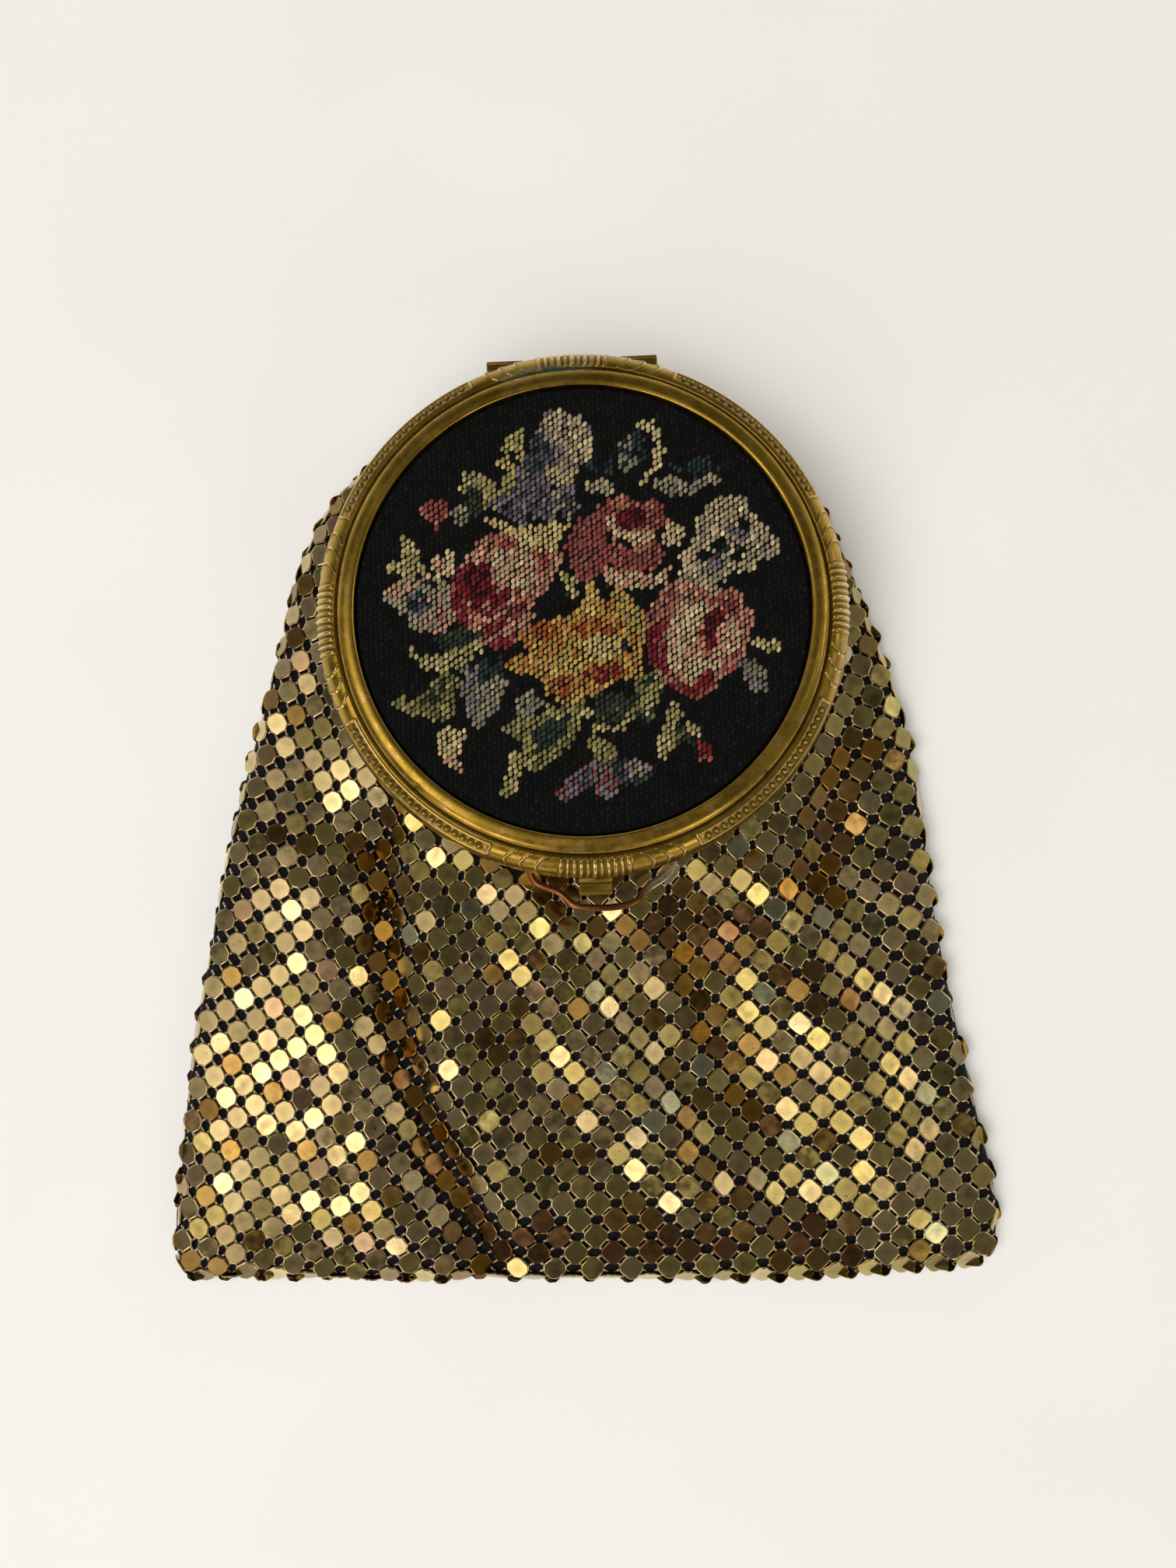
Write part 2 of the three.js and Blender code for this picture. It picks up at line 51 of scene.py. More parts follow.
lid_height = 5.0
lid_wall = 0.8
band_width = 2.75
band_drop = 3.2
groove_width = 0.3
groove_depth = 0.25
bezel_width = 2.55
bezel_rise = 0.9
panel_thickness = 0.5
panel_recess = 0.5
piece_gap = 0.3
mirror_thickness = 1.2
case_setback = 0.8
case_height = 5.6
case_wall = 1.0
case_floor = 1.0
collar_rise = 0.7
ring_setback = 0.4
ring_width = 3.8
ring_height = 2.4
knuckle_radius = 1.4
pin_radius = 0.5
hinge_length = 25.0
lug_width = 5.4
hinge_flat_depth = 3.1
hinge_wall = 1.0
catch_width = 4.8
loop_wire_radius = 0.5
loop_half_width = 10.0
loop_depth = 4.2
loop_level = 0.35
pouch_mouth_height = 8.0
mouth_setback = 1.0
pouch_length = 98.3
pouch_half_width = 61.9
pouch_lean = -3.7
pouch_edge_height = 2.0
fold_height = 2.6
fold_width = 5.0

band_foot = lid_height - bezel_rise - band_drop
groove_radius = lid_radius - band_width
bezel_outer = groove_radius - groove_width
opening_radius = bezel_outer - bezel_width
panel_seat = lid_height - panel_recess - panel_thickness - piece_gap
case_radius = lid_radius - case_setback
ring_radius = lid_radius - ring_setback
mouth_radius = ring_radius - mouth_setback
ring_base = pouch_mouth_height + piece_gap
case_base = ring_base + ring_height + piece_gap
lid_base = case_base + case_height + piece_gap
hinge_flat = lid_radius - hinge_flat_depth
hinge_axis = hinge_flat + piece_gap + knuckle_radius
lid_hinge_level = case_base + case_height - piece_gap - knuckle_radius
case_hinge_level = case_base
bore_radius = pin_radius + piece_gap
case_knuckle_length = hinge_length - 2 * (lug_width + piece_gap)
lug_centres = [side * (hinge_length - lug_width) / 2 for side in (-1, 1)]

panel_low, panel_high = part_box("needlework_panel")
centre_mm = np.array([
    (panel_low[0] + panel_high[0]) * 500,
    (panel_low[1] + panel_high[1]) * 500,
    0.0,
])


# Meshes

def signed_volume(points, triangles):
    a, b, c = (points[triangles[:, i]] for i in range(3))
    return float((a * np.cross(b, c)).sum() / 6)


def mesh_piece(
    name, points, faces, material, body, stands_for=(), tint=None, values=None, flat_faces=None
):
    """One piece from millimetres: faces wind outwards, tint and values are given for each point."""
    points = np.asarray(points, float)
    triangles = np.array([(f[0], f[i], f[i + 1]) for f in faces for i in range(1, len(f) - 1)])
    if signed_volume(points, triangles) < 0:
        faces = [tuple(reversed(f)) for f in faces]
    mesh = bpy.data.meshes.new(name)
    mesh.from_pydata(((points + centre_mm) / 1000).tolist(), [], faces)
    smooth = np.ones(len(faces), bool)
    if flat_faces is not None:
        smooth[flat_faces] = False
    mesh.polygons.foreach_set("use_smooth", smooth)
    if tint is not None:
        colours = np.ones((len(points), 4))
        colours[:, :3] = tint
        layer = mesh.attributes.new("tint", "FLOAT_COLOR", "POINT")
        layer.data.foreach_set("color", colours.ravel())
    for key, numbers in (values or {}).items():
        layer = mesh.attributes.new(key, "FLOAT", "POINT")
        layer.data.foreach_set("value", np.asarray(numbers, float))
    mesh.materials.append(material)
    mesh.update()
    piece = bpy.data.objects.new(name, mesh)
    bpy.context.scene.collection.objects.link(piece)
    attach(piece, body)
    if stands_for:
        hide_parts(*stands_for)
    return piece


def grid_faces(rows, columns, first=0, closed_rows=False):
    """Quads of a grid whose columns wrap round; point = first + row * columns + column."""
    row, column = np.meshgrid(np.arange(rows if closed_rows else rows - 1), np.arange(columns), indexing="ij")
    above = (row + 1) % rows
    right = (column + 1) % columns
    quads = np.stack([
        first + row * columns + column,
        first + row * columns + right,
        first + above * columns + right,
        first + above * columns + column,
    ], axis=-1)
    return [tuple(quad) for quad in quads.reshape(-1, 4).tolist()]


class Shape:
    """Points and faces that several parts are added to."""

    def __init__(self):
        self.points = []
        self.faces = []
        self.tints = []

    def add(self, points, faces, tint=(1, 1, 1)):
        points = np.asarray(points, float)
        triangles = np.array([(f[0], f[i], f[i + 1]) for f in faces for i in range(1, len(f) - 1)])
        flip = signed_volume(points, triangles) < 0
        first = len(self.points)
        self.points.extend(points.tolist())
        self.tints.extend([tint] * len(points))
        for face in faces:
            moved = tuple(first + i for i in face)
            self.faces.append(tuple(reversed(moved)) if flip else moved)


def flat_runs(profile):
    """The profile with rows added near both ends of its long runs, so that these are shaded flat."""
    rows = []
    for row, after in zip(profile, profile[1:] + profile[:1]):
        rows.append(row)
        length = math.hypot(after[0] - row[0], after[1] - row[1])
        if length > 3:
            for share in (0.4 / length, 1 - 0.4 / length):
                added = [a + (b - a) * share for a, b in zip(row, after)]
                if len(added) > 2 and row[1] == after[1]:
                    added[2] -= 0.5
                rows.append(tuple(added))
    return rows


def lathe(profile, columns, flat_at=None, base=0.0):
    """A closed profile of (radius, height) rows turned round Z; flat_at cuts the back off straight."""
    angles = np.linspace(0, 2 * math.pi, columns, endpoint=False)
    rows = []
    for row in profile:
        radius, height = row[:2]
        flat = row[2] if len(row) > 2 else flat_at
        x = radius * np.cos(angles)
        y = radius * np.sin(angles)
        if flat is not None:
            y = np.minimum(y, flat)
        rows.append(np.stack([x, y, np.full(columns, base + height)], axis=1))
    return np.concatenate(rows), grid_faces(len(profile), columns, closed_rows=True)


def rounded_box(low, high, bevel):
    built = bmesh.new()
    bmesh.ops.create_cube(built, size=1)
    size = [b - a for a, b in zip(low, high)]
    middle = [(a + b) / 2 for a, b in zip(low, high)]
    bmesh.ops.transform(built, matrix=Matrix.LocRotScale(middle, None, size), verts=built.verts)
    bmesh.ops.bevel(built, geom=built.edges[:], offset=bevel, segments=2, affect="EDGES", profile=0.5)
    built.verts.index_update()
    points = [tuple(vertex.co) for vertex in built.verts]
    faces = [tuple(vertex.index for vertex in face.verts) for face in built.faces]
    built.free()
    return points, faces


def bar_ring(middle_x, length, level, outer, inner, columns=40):
    """A tube along X through the hinge line, with eased rims."""
    half = length / 2
    ease = 0.15
    profile = [
        (-half, inner), (-half, outer - ease), (-half + ease, outer),
        (half - ease, outer), (half, outer - ease), (half, inner),
    ]
    angles = np.linspace(0, 2 * math.pi, columns, endpoint=False)
    rows = [
        np.stack([
            np.full(columns, middle_x + x),
            hinge_axis + radius * np.cos(angles),
            level + radius * np.sin(angles),
        ], axis=1)
        for x, radius in profile
    ]
    return np.concatenate(rows), grid_faces(len(profile), columns, closed_rows=True)


def capped_rows(rows, columns):
    """Faces of stacked rings of points with both ends closed."""
    faces = grid_faces(rows, columns)
    faces.append(tuple(reversed(range(columns))))
    faces.append(tuple(range((rows - 1) * columns, rows * columns)))
    return faces


# Material graphs

class Graph:
    """Short calls for a material's nodes. Places in the textures are millimetres."""

    def __init__(self, name, **values):
        self.material = bpy.data.materials.new(name)
        self.material.use_nodes = True
        self.tree = self.material.node_tree
        self.shader = self.tree.nodes["Principled BSDF"]
        for key, value in values.items():
            self.shader.inputs[key.replace("_", " ")].default_value = value
        place = self.tree.nodes.new("ShaderNodeTexCoord")
        scale = self.tree.nodes.new("ShaderNodeVectorMath")
        scale.operation = "SCALE"
        scale.inputs["Scale"].default_value = 1000
        self.tree.links.new(place.outputs["Object"], scale.inputs[0])
        self.place = scale.outputs[0]

    def put(self, socket, value):
        if isinstance(value, bpy.types.NodeSocket):
            self.tree.links.new(value, socket)
        elif value is not None:
            socket.default_value = value

    def stretched(self, scale, turn=0.0):
        node = self.tree.nodes.new("ShaderNodeMapping")
        node.inputs["Scale"].default_value = scale
        node.inputs["Rotation"].default_value = (0, 0, turn)
        self.put(node.inputs["Vector"], self.place)
        return node.outputs[0]

    def noise(self, size, detail=3, rough=0.55, place=None, distortion=0.0):
        """Noise with lumps of about this size in millimetres."""
        node = self.tree.nodes.new("ShaderNodeTexNoise")
        node.inputs["Scale"].default_value = 1 / size
        node.inputs["Detail"].default_value = detail
        node.inputs["Roughness"].default_value = rough
        node.inputs["Distortion"].default_value = distortion
        self.put(node.inputs["Vector"], place or self.place)
        return node.outputs["Fac"]

    def cells(self, size, place=None):
        node = self.tree.nodes.new("ShaderNodeTexVoronoi")
        node.inputs["Scale"].default_value = 1 / size
        self.put(node.inputs["Vector"], place or self.place)
        return node.outputs["Distance"]

    def attribute(self, name, output="Fac"):
        node = self.tree.nodes.new("ShaderNodeAttribute")
        node.attribute_name = name
        return node.outputs[output]

    def span(self, value, low, high, to_low=0.0, to_high=1.0):
        node = self.tree.nodes.new("ShaderNodeMapRange")
        node.interpolation_type = "SMOOTHSTEP"
        for key, number in zip(("From Min", "From Max", "To Min", "To Max"), (low, high, to_low, to_high)):
            self.put(node.inputs[key], number)
        self.put(node.inputs["Value"], value)
        return node.outputs["Result"]

    def math(self, operation, a, b=0.0):
        node = self.tree.nodes.new("ShaderNodeMath")
        node.operation = operation
        self.put(node.inputs[0], a)
        self.put(node.inputs[1], b)
        return node.outputs[0]

    def mix(self, share, a, b, blend="MIX"):
        node = self.tree.nodes.new("ShaderNodeMix")
        node.data_type = "RGBA"
        node.blend_type = blend
        self.put(node.inputs["Factor"], share)
        for key, value in (("A", a), ("B", b)):
            socket = [s for s in node.inputs if s.name == key and s.type == "RGBA"][0]
            self.put(socket, (*value, 1) if isinstance(value, tuple) and len(value) == 3 else value)
        return [s for s in node.outputs if s.type == "RGBA"][0]

    def bump(self, height, distance, strength=1.0, normal=None):
        """Bump whose full height is this many millimetres."""
        node = self.tree.nodes.new("ShaderNodeBump")
        node.inputs["Distance"].default_value = distance / 1000
        node.inputs["Strength"].default_value = strength
        self.put(node.inputs["Height"], height)
        self.put(node.inputs["Normal"], normal)
        return node.outputs["Normal"]

    def set(self, **sockets):
        for key, value in sockets.items():
            self.put(self.shader.inputs[key.replace("_", " ")], value)
        return self.material


def brass(name, light, dark, rough=(0.24, 0.42), hollow=None, pink=0.0):
    """Aged brass: two tones in soft clouds, dark specks, pinkish rubbed spots and fine scratches."""
    g = Graph(name, Metallic=1.0)
    clouds = g.noise(9, 4)
    colour = g.mix(g.span(clouds, 0.35, 0.68), dark, light)
    rubbed = g.math("MULTIPLY", g.span(g.noise(2.2, 5, 0.7), 0.52, 0.72), pink)
    colour = g.mix(rubbed, colour, (0.72, 0.43, 0.26))
    specks = g.span(g.noise(0.5, 3, 0.7), 0.66, 0.74)
    colour = g.mix(g.math("MULTIPLY", specks, 0.6), colour, (0.09, 0.06, 0.02))
    roughness = g.span(g.noise(1.4, 4, 0.65), 0.3, 0.7, *rough)
    if hollow:
        depth = g.attribute(hollow)
        colour = g.mix(g.math("MULTIPLY", depth, 0.85), colour, (0.07, 0.045, 0.012))
        colour = g.mix(g.math("MULTIPLY", depth, -1.0), colour, (0.95, 0.74, 0.36))
        roughness = g.math("ADD", roughness, g.math("MULTIPLY", depth, 0.2))
    scratches = g.noise(0.25, 2, 0.6, g.stretched((0.12, 1.0, 1.0), 0.6))
    normal = g.bump(scratches, 0.005)
    normal = g.bump(g.noise(0.16, 2), 0.002, normal=normal)
    return g, colour, roughness, normal


def lid_brass_material():
    g, colour, roughness, normal = brass(
        "lid_brass", (0.55, 0.355, 0.055), (0.38, 0.24, 0.035), (0.2, 0.36), hollow="hollow", pink=0.6)
    stain = g.math("MULTIPLY", g.attribute("stain"), g.span(g.noise(0.9, 4, 0.7), 0.42, 0.56))
    colour = g.mix(stain, colour, (0.012, 0.05, 0.045))
    metal = g.math("SUBTRACT", 1.0, g.math("MULTIPLY", stain, 0.9))
    roughness = g.math("ADD", roughness, g.math("MULTIPLY", stain, 0.4))
    return g.set(Base_Color=colour, Roughness=roughness, Normal=normal, Metallic=metal)


def case_brass_material():
    g, colour, roughness, normal = brass("case_brass", (0.55, 0.39, 0.12), (0.38, 0.26, 0.07), (0.28, 0.46))
    return g.set(Base_Color=colour, Roughness=roughness, Normal=normal)


def wire_material():
    g, colour, roughness, normal = brass("loop_wire", (0.46, 0.2, 0.08), (0.24, 0.1, 0.04), (0.18, 0.36))
    colour = g.mix(1.0, colour, g.attribute("tint", "Color"), "MULTIPLY")
    return g.set(Base_Color=colour, Roughness=roughness, Normal=normal)


def plates_material():
    g = Graph("mesh_plates", Metallic=1.0)
    colour = g.mix(
        g.span(g.noise(3.5, 3), 0.3, 0.7, 0.0, 0.25), g.attribute("tint", "Color"), (0.36, 0.28, 0.12)
    )
    pits = g.span(g.noise(0.42, 2, 0.6), 0.67, 0.71)
    marked = g.span(g.noise(14, 2), 0.48, 0.6)
    colour = g.mix(g.math("MULTIPLY", g.math("MULTIPLY", pits, marked), 0.75), colour, (0.07, 0.05, 0.02))
    roughness = g.span(g.noise(1.6, 2, 0.5), 0.3, 0.7, 0.12, 0.24)
    normal = g.bump(g.noise(3.0, 1), 0.03)
    scratches = g.noise(0.2, 2, 0.6, g.stretched((0.1, 1.0, 1.0), 1.1))
    normal = g.bump(scratches, 0.003, normal=normal)
    return g.set(Base_Color=colour, Roughness=roughness, Normal=normal)


def links_material():
    g = Graph("mesh_links", Metallic=1.0)
    colour = g.mix(g.span(g.noise(2.0, 2), 0.4, 0.6), (0.78, 0.58, 0.46), (0.72, 0.66, 0.5))
    return g.set(Base_Color=colour, Roughness=g.span(g.noise(0.3, 2), 0.3, 0.7, 0.16, 0.34))


def lining_and_shade_material():
    g = Graph("mesh_lining", Roughness=0.9)
    weave = g.math(
        "MULTIPLY",
        g.noise(0.22, 1, 0.5, g.stretched((1, 0.3, 1))),
        g.noise(0.22, 1, 0.5, g.stretched((0.3, 1, 1))),
    )
    # Near-black: the cloth's own dark colour together with painted shade between the plates.
    colour = g.mix(g.span(weave, 0.15, 0.4), (0.002, 0.002, 0.0025), (0.007, 0.006, 0.007))
    return g.set(Base_Color=colour, Normal=g.bump(weave, 0.08))


def wool_material():
    g = Graph("needlework", Roughness=0.95, Specular_IOR_Level=0.08)
    fibres = g.noise(0.09, 2, 0.6, g.stretched((1.0, 0.25, 1.0), -0.55))
    shade = g.span(fibres, 0.3, 0.7, 0.6, 1.15)
    node = g.tree.nodes.new("ShaderNodeVectorMath")
    node.operation = "SCALE"
    g.put(node.inputs[0], g.attribute("tint", "Color"))
    g.put(node.inputs["Scale"], shade)
    return g.set(Base_Color=node.outputs[0], Normal=g.bump(fibres, 0.05))


def mirror_material():
    g = Graph("mirror_glass", Metallic=1.0)
    haze = g.span(g.noise(6, 4, 0.6), 0.55, 0.75)
    colour = g.mix(haze, (0.86, 0.88, 0.88), (0.7, 0.72, 0.7))
    return g.set(Base_Color=colour, Roughness=g.span(haze, 0, 1, 0.02, 0.08))


def floor_material():
    g = Graph("floor", Roughness=0.8, Specular_IOR_Level=0.1)
    colour = g.mix(g.span(g.noise(60, 2), 0.3, 0.7), (0.88, 0.862, 0.835), (0.9, 0.882, 0.857))
    return g.set(Base_Color=colour)


lid_metal = lid_brass_material()
case_metal = case_brass_material()
wire_metal = wire_material()
plate_metal = plates_material()
link_metal = links_material()
lining_and_shade_cloth = lining_and_shade_material()
wool = wool_material()
glass = mirror_material()


# The lid: the ornamental band, the bezel with its plate, the hinge lugs and the thumb catch

ribs_in_group = 11
rib_pitch = 1.5  # degrees
crescents = (13.0, 16.5, 20.0)  # degrees from the middle of the ribs
crescent_bulge = 2.6
beads_in_panel = 20
panel_half_angle = 20.0
bead_share = 0.64
panel_shares = (0.44, 0.84)
band_arc = 4.68  # length of the band's quarter ellipse
degree_mm = math.pi / 180 * 37


def ridge(distance, half_width):
    return np.sqrt(np.clip(1 - (distance / half_width) ** 2, 0, 1))


def step(value, low, high):
    share = np.clip((value - low) / (high - low), 0, 1)
    return share * share * (3 - 2 * share)


def ornament(angle, share):
    """Lift of the band's relief and its hollowness, below zero on crests, at degrees and shares up it."""
    from_ribs = (angle + 45) % 90 - 45
    side = np.abs(from_ribs)
    rib = np.clip(np.round(from_ribs / rib_pitch), -(ribs_in_group // 2), ribs_in_group // 2)
    rib_fade = step(share, 0.08, 0.18) * (1 - step(share, 0.88, 0.96))
    rib_half = 0.3 + 0.06 * np.cos(rib * 2.4)
    ribs = ridge((from_ribs - rib * rib_pitch) * degree_mm, rib_half) * rib_fade
    lift = np.where(rib % 2, 0.17, 0.27) * ribs
    crest = np.where(rib % 2, 0.5, 1.0) * ribs
    group_edge = rib_pitch * (ribs_in_group / 2)
    between_ribs = (side < group_edge) * rib_fade * (1 - ribs)
    hollow = 0.7 * between_ribs
    lift -= 0.08 * between_ribs
    bend = crescent_bulge * ((share - 0.5) / 0.44) ** 2
    for crescent in crescents:
        line = side - (crescent - bend)
        away = line * degree_mm
        drawn = step(share, 0.03, 0.1) * (1 - step(share, 0.92, 0.98))
        mark = ridge(away, 0.15) * drawn
        lift += 0.16 * mark
        crest = np.maximum(crest, mark)
        lift += 0.05 * (1 - step(away, -0.1, 0.1))
        behind = np.exp(-((away + 0.28) / 0.16) ** 2) * drawn
        hollow = np.maximum(hollow, 0.75 * behind)
    from_panel = angle % 90 - 45
    along = (np.abs(from_panel) - panel_half_angle - 1.2) * degree_mm
    across = (np.abs(share - sum(panel_shares) / 2) - (panel_shares[1] - panel_shares[0]) / 2) * band_arc
    border = np.where(
        (along > 0) & (across > 0), np.hypot(along, across), np.maximum(along, across))
    frame_line = ridge(border, 0.13)
    inside = 1 - step(border, -0.3, -0.05)
    lift += 0.12 * frame_line - 0.1 * inside
    crest = np.maximum(crest, 0.8 * frame_line)
    hollow = np.maximum(hollow, 0.35 * inside)
    hollow = np.maximum(hollow, 0.55 * ridge(border - 0.3, 0.14))
    pitch = 2 * panel_half_angle / beads_in_panel
    bead = np.clip(np.floor(from_panel / pitch), -beads_in_panel / 2, beads_in_panel / 2 - 1)
    bead_middle = (bead + 0.5) * pitch
    distance = np.hypot((from_panel - bead_middle) * degree_mm, (share - bead_share) * band_arc)
    lift += 0.3 * ridge(distance, 0.32) - 0.1 * ridge(distance - 0.44, 0.14)
    hollow = np.maximum(hollow, ridge(distance - 0.44, 0.2))
    crest = np.maximum(crest, 0.6 * ridge(distance, 0.3))
    hollow = hollow * (1 - 0.9 * (distance < 0.3)) - 0.7 * crest
    return lift, hollow


def band_points(angle, share, lift):
    """Points of the quarter-ellipse band with this lift along its normal."""
    turn = share * math.pi / 2
    out = np.cos(turn) / band_width
    up = np.sin(turn) / band_drop
    length = np.hypot(out, up)
    radius = groove_radius + band_width * np.cos(turn) + out / length * lift
    height = band_foot + band_drop * np.sin(turn) + up / length * lift
    turned = np.radians(angle)
    return np.stack([radius * np.cos(turned), radius * np.sin(turned), lid_base + height], axis=-1)


def stain_at(points):
    """Where verdigris shows: in and beside the groove at the back."""
    radius = np.hypot(points[:, 0], points[:, 1])
    near = np.exp(-((radius - 35.3) / 0.85) ** 2)
    along = step(points[:, 0], -12, -8) * (1 - step(points[:, 0], 1, 5))
    return near * along * (points[:, 1] > 0) * (points[:, 2] > lid_base + 2)


def lid_band():
    columns = 2160
    shares = np.concatenate([
        np.linspace(0, 0.4, 8, endpoint=False),
        np.linspace(0.4, 0.88, 15, endpoint=False),
        np.linspace(0.88, 1, 4),
    ])
    angles = np.linspace(0, 360, columns, endpoint=False)
    share, angle = np.meshgrid(shares, angles, indexing="ij")
    lift, hollow = ornament(angle, share)
    ends = step(share, 0, 0.03) * (1 - step(share, 0.985, 1))
    outer = band_points(angle, share, lift * ends).reshape(-1, 3)
    inner_profile = [
        (groove_radius - 0.02, lid_height - bezel_rise - lid_wall),
        (lid_radius - lid_wall, band_foot),
        (lid_radius - lid_wall, 0),
        (lid_radius - 0.12, 0),
        (lid_radius, 0.12),
    ]
    turned = np.radians(angles)
    rows = [outer]
    for radius, height in inner_profile:
        level = np.full(columns, lid_base + height)
        rows.append(np.stack([radius * np.cos(turned), radius * np.sin(turned), level], axis=1))
    points = np.concatenate(rows)
    faces = grid_faces(len(shares) + len(inner_profile), columns, closed_rows=True)
    hollows = np.concatenate([hollow.ravel(), np.zeros(columns * len(inner_profile))])
    return mesh_piece(
        "lid_band", points, faces, lid_metal, "lid", ["compact_lid"],
        values={"hollow": hollows, "stain": stain_at(points)}
    )


def lid_bezel():
    """The groove, the smooth ring and the plate under the needlework."""
    columns = 480
    ceiling = panel_seat - lid_wall
    band_top = band_foot + band_drop
    profile = [
        (groove_radius + 0.1, band_top - 0.75, 0.4),
        (groove_radius - 0.02, band_top - 0.1, 0.6),
        (groove_radius - 0.13, band_top - groove_depth, 1.0),
        (groove_radius - 0.24, band_top - groove_depth * 0.6, 0.9),
        (bezel_outer - 0.02, band_top + 0.06, 0.5),
        (bezel_outer - 0.2, band_top + 0.36, 0.1),
        (bezel_outer - 0.5, band_top + 0.58, 0),
        (bezel_outer - 0.85, band_top + 0.74, 0),
        (bezel_outer - 1.25, band_top + 0.84, 0),
        (bezel_outer - 1.65, band_top + 0.89, 0),
        (bezel_outer - 2.0, band_top + 0.9, 0),
        (bezel_outer - 2.28, band_top + 0.86, 0),
        (bezel_outer - 2.46, band_top + 0.76, 0),
        (opening_radius, band_top + 0.6, 0.15),
        (opening_radius, band_top + 0.2, 0.9),
        (opening_radius, panel_seat, 1.0),
        (opening_radius - 3, panel_seat, 1.0),
        (opening_radius - 3, ceiling, 0.3),
        (groove_radius - lid_wall, ceiling, 0.3),
    ]
    points, faces = lathe([row[:2] for row in profile], columns, base=lid_base)
    dents = np.zeros(columns)
    angles = np.linspace(0, 360, columns, endpoint=False)
    for notch in (-135, -45):
        away = (angles - notch + 180) % 360 - 180
        dents += np.exp(-(away / 0.7) ** 2)
    hollow = np.repeat([row[2] for row in profile], columns).reshape(len(profile), columns)
    hollow[4:7] = np.clip(hollow[4:7] + dents, 0, 1)
    points = points.reshape(len(profile), columns, 3)
    points[4:7, :, 2] -= 0.12 * dents
    points = points.reshape(-1, 3)
    return mesh_piece(
        "lid_bezel", points, faces, lid_metal, "lid", ["compact_lid"],
        values={"hollow": hollow.ravel(), "stain": stain_at(points)}
    )


def lid_plate():
    """The middle of the plate between the needlework and the mirror."""
    radius = opening_radius - 2.6
    profile = [(0.01, 0.05), (radius, 0.05), (radius, lid_wall - 0.05), (0.01, lid_wall - 0.05)]
    points, faces = lathe(flat_runs(profile), 96, base=lid_base + panel_seat - lid_wall)
    return mesh_piece("lid_plate", points, faces, lid_metal, "lid", ["compact_lid"])


def lid_fittings():
    """Hinge lugs and the thumb catch."""
    shape = Shape()
    for middle in lug_centres:
        shape.add(*bar_ring(middle, lug_width, lid_hinge_level, knuckle_radius, bore_radius))
        half = lug_width / 2
        back = hinge_axis + knuckle_radius * 0.5
        shape.add(*rounded_box(
            (middle - half, hinge_axis + bore_radius + 0.05, lid_hinge_level + 0.2),
            (middle + half, hinge_axis + knuckle_radius, lid_base + band_foot - 0.1), 0.18))
        shape.add(*rounded_box(
            (middle - half, hinge_flat + piece_gap, lid_base),
            (middle + half, back + 0.3, lid_base + band_foot + 0.1), 0.2))
    middle_line = [
        (-37.9, 0.5), (-38.3, 0.28), (-38.45, -0.3), (-38.46, -1.0), (-38.5, -1.55),
        (-38.72, -1.95), (-39.15, -2.14), (-39.8, -2.15), (-40.45, -2.15),
    ]
    thickness = [0.45, 0.42, 0.42, 0.42, 0.44, 0.45, 0.45, 0.42, 0.3]
    line = np.array(middle_line)
    run = np.gradient(line, axis=0)
    run /= np.linalg.norm(run, axis=1)[:, None]
    across = np.stack([-run[:, 1], run[:, 0]], axis=1) * np.array(thickness)[:, None]
    outline = np.concatenate([line + across, (line - across)[::-1]])
    half = catch_width / 2
    rows = []
    middle = outline.mean(axis=0)
    for x, shrink in ((-half, 0.94), (-half + 0.15, 1.0), (half - 0.15, 1.0), (half, 0.94)):
        section = middle + (outline - middle) * shrink
        rows.append(np.column_stack([np.full(len(section), x), section[:, 0], lid_base + section[:, 1]]))
    shape.add(np.concatenate(rows), capped_rows(4, len(outline)))
    return mesh_piece(
        "lid_fittings", shape.points, shape.faces, lid_metal, "lid", ["compact_lid"],
        values={"hollow": np.full(len(shape.points), 0.35)}
    )


def mirror():
    radius = groove_radius - lid_wall - piece_gap
    base = lid_base + panel_seat - lid_wall - piece_gap - mirror_thickness
    profile = [
        (0.01, 0), (radius - 1.6, 0), (radius - 0.25, 0.4), (radius, 0.55),
        (radius, mirror_thickness - 0.1), (radius - 0.1, mirror_thickness), (0.01, mirror_thickness),
    ]
    points, faces = lathe(flat_runs(profile), 180, base=base)
    return mesh_piece("mirror_disc", points, faces, glass, "lid", ["lid_mirror"])


# The case, the ring, the pins and the loop

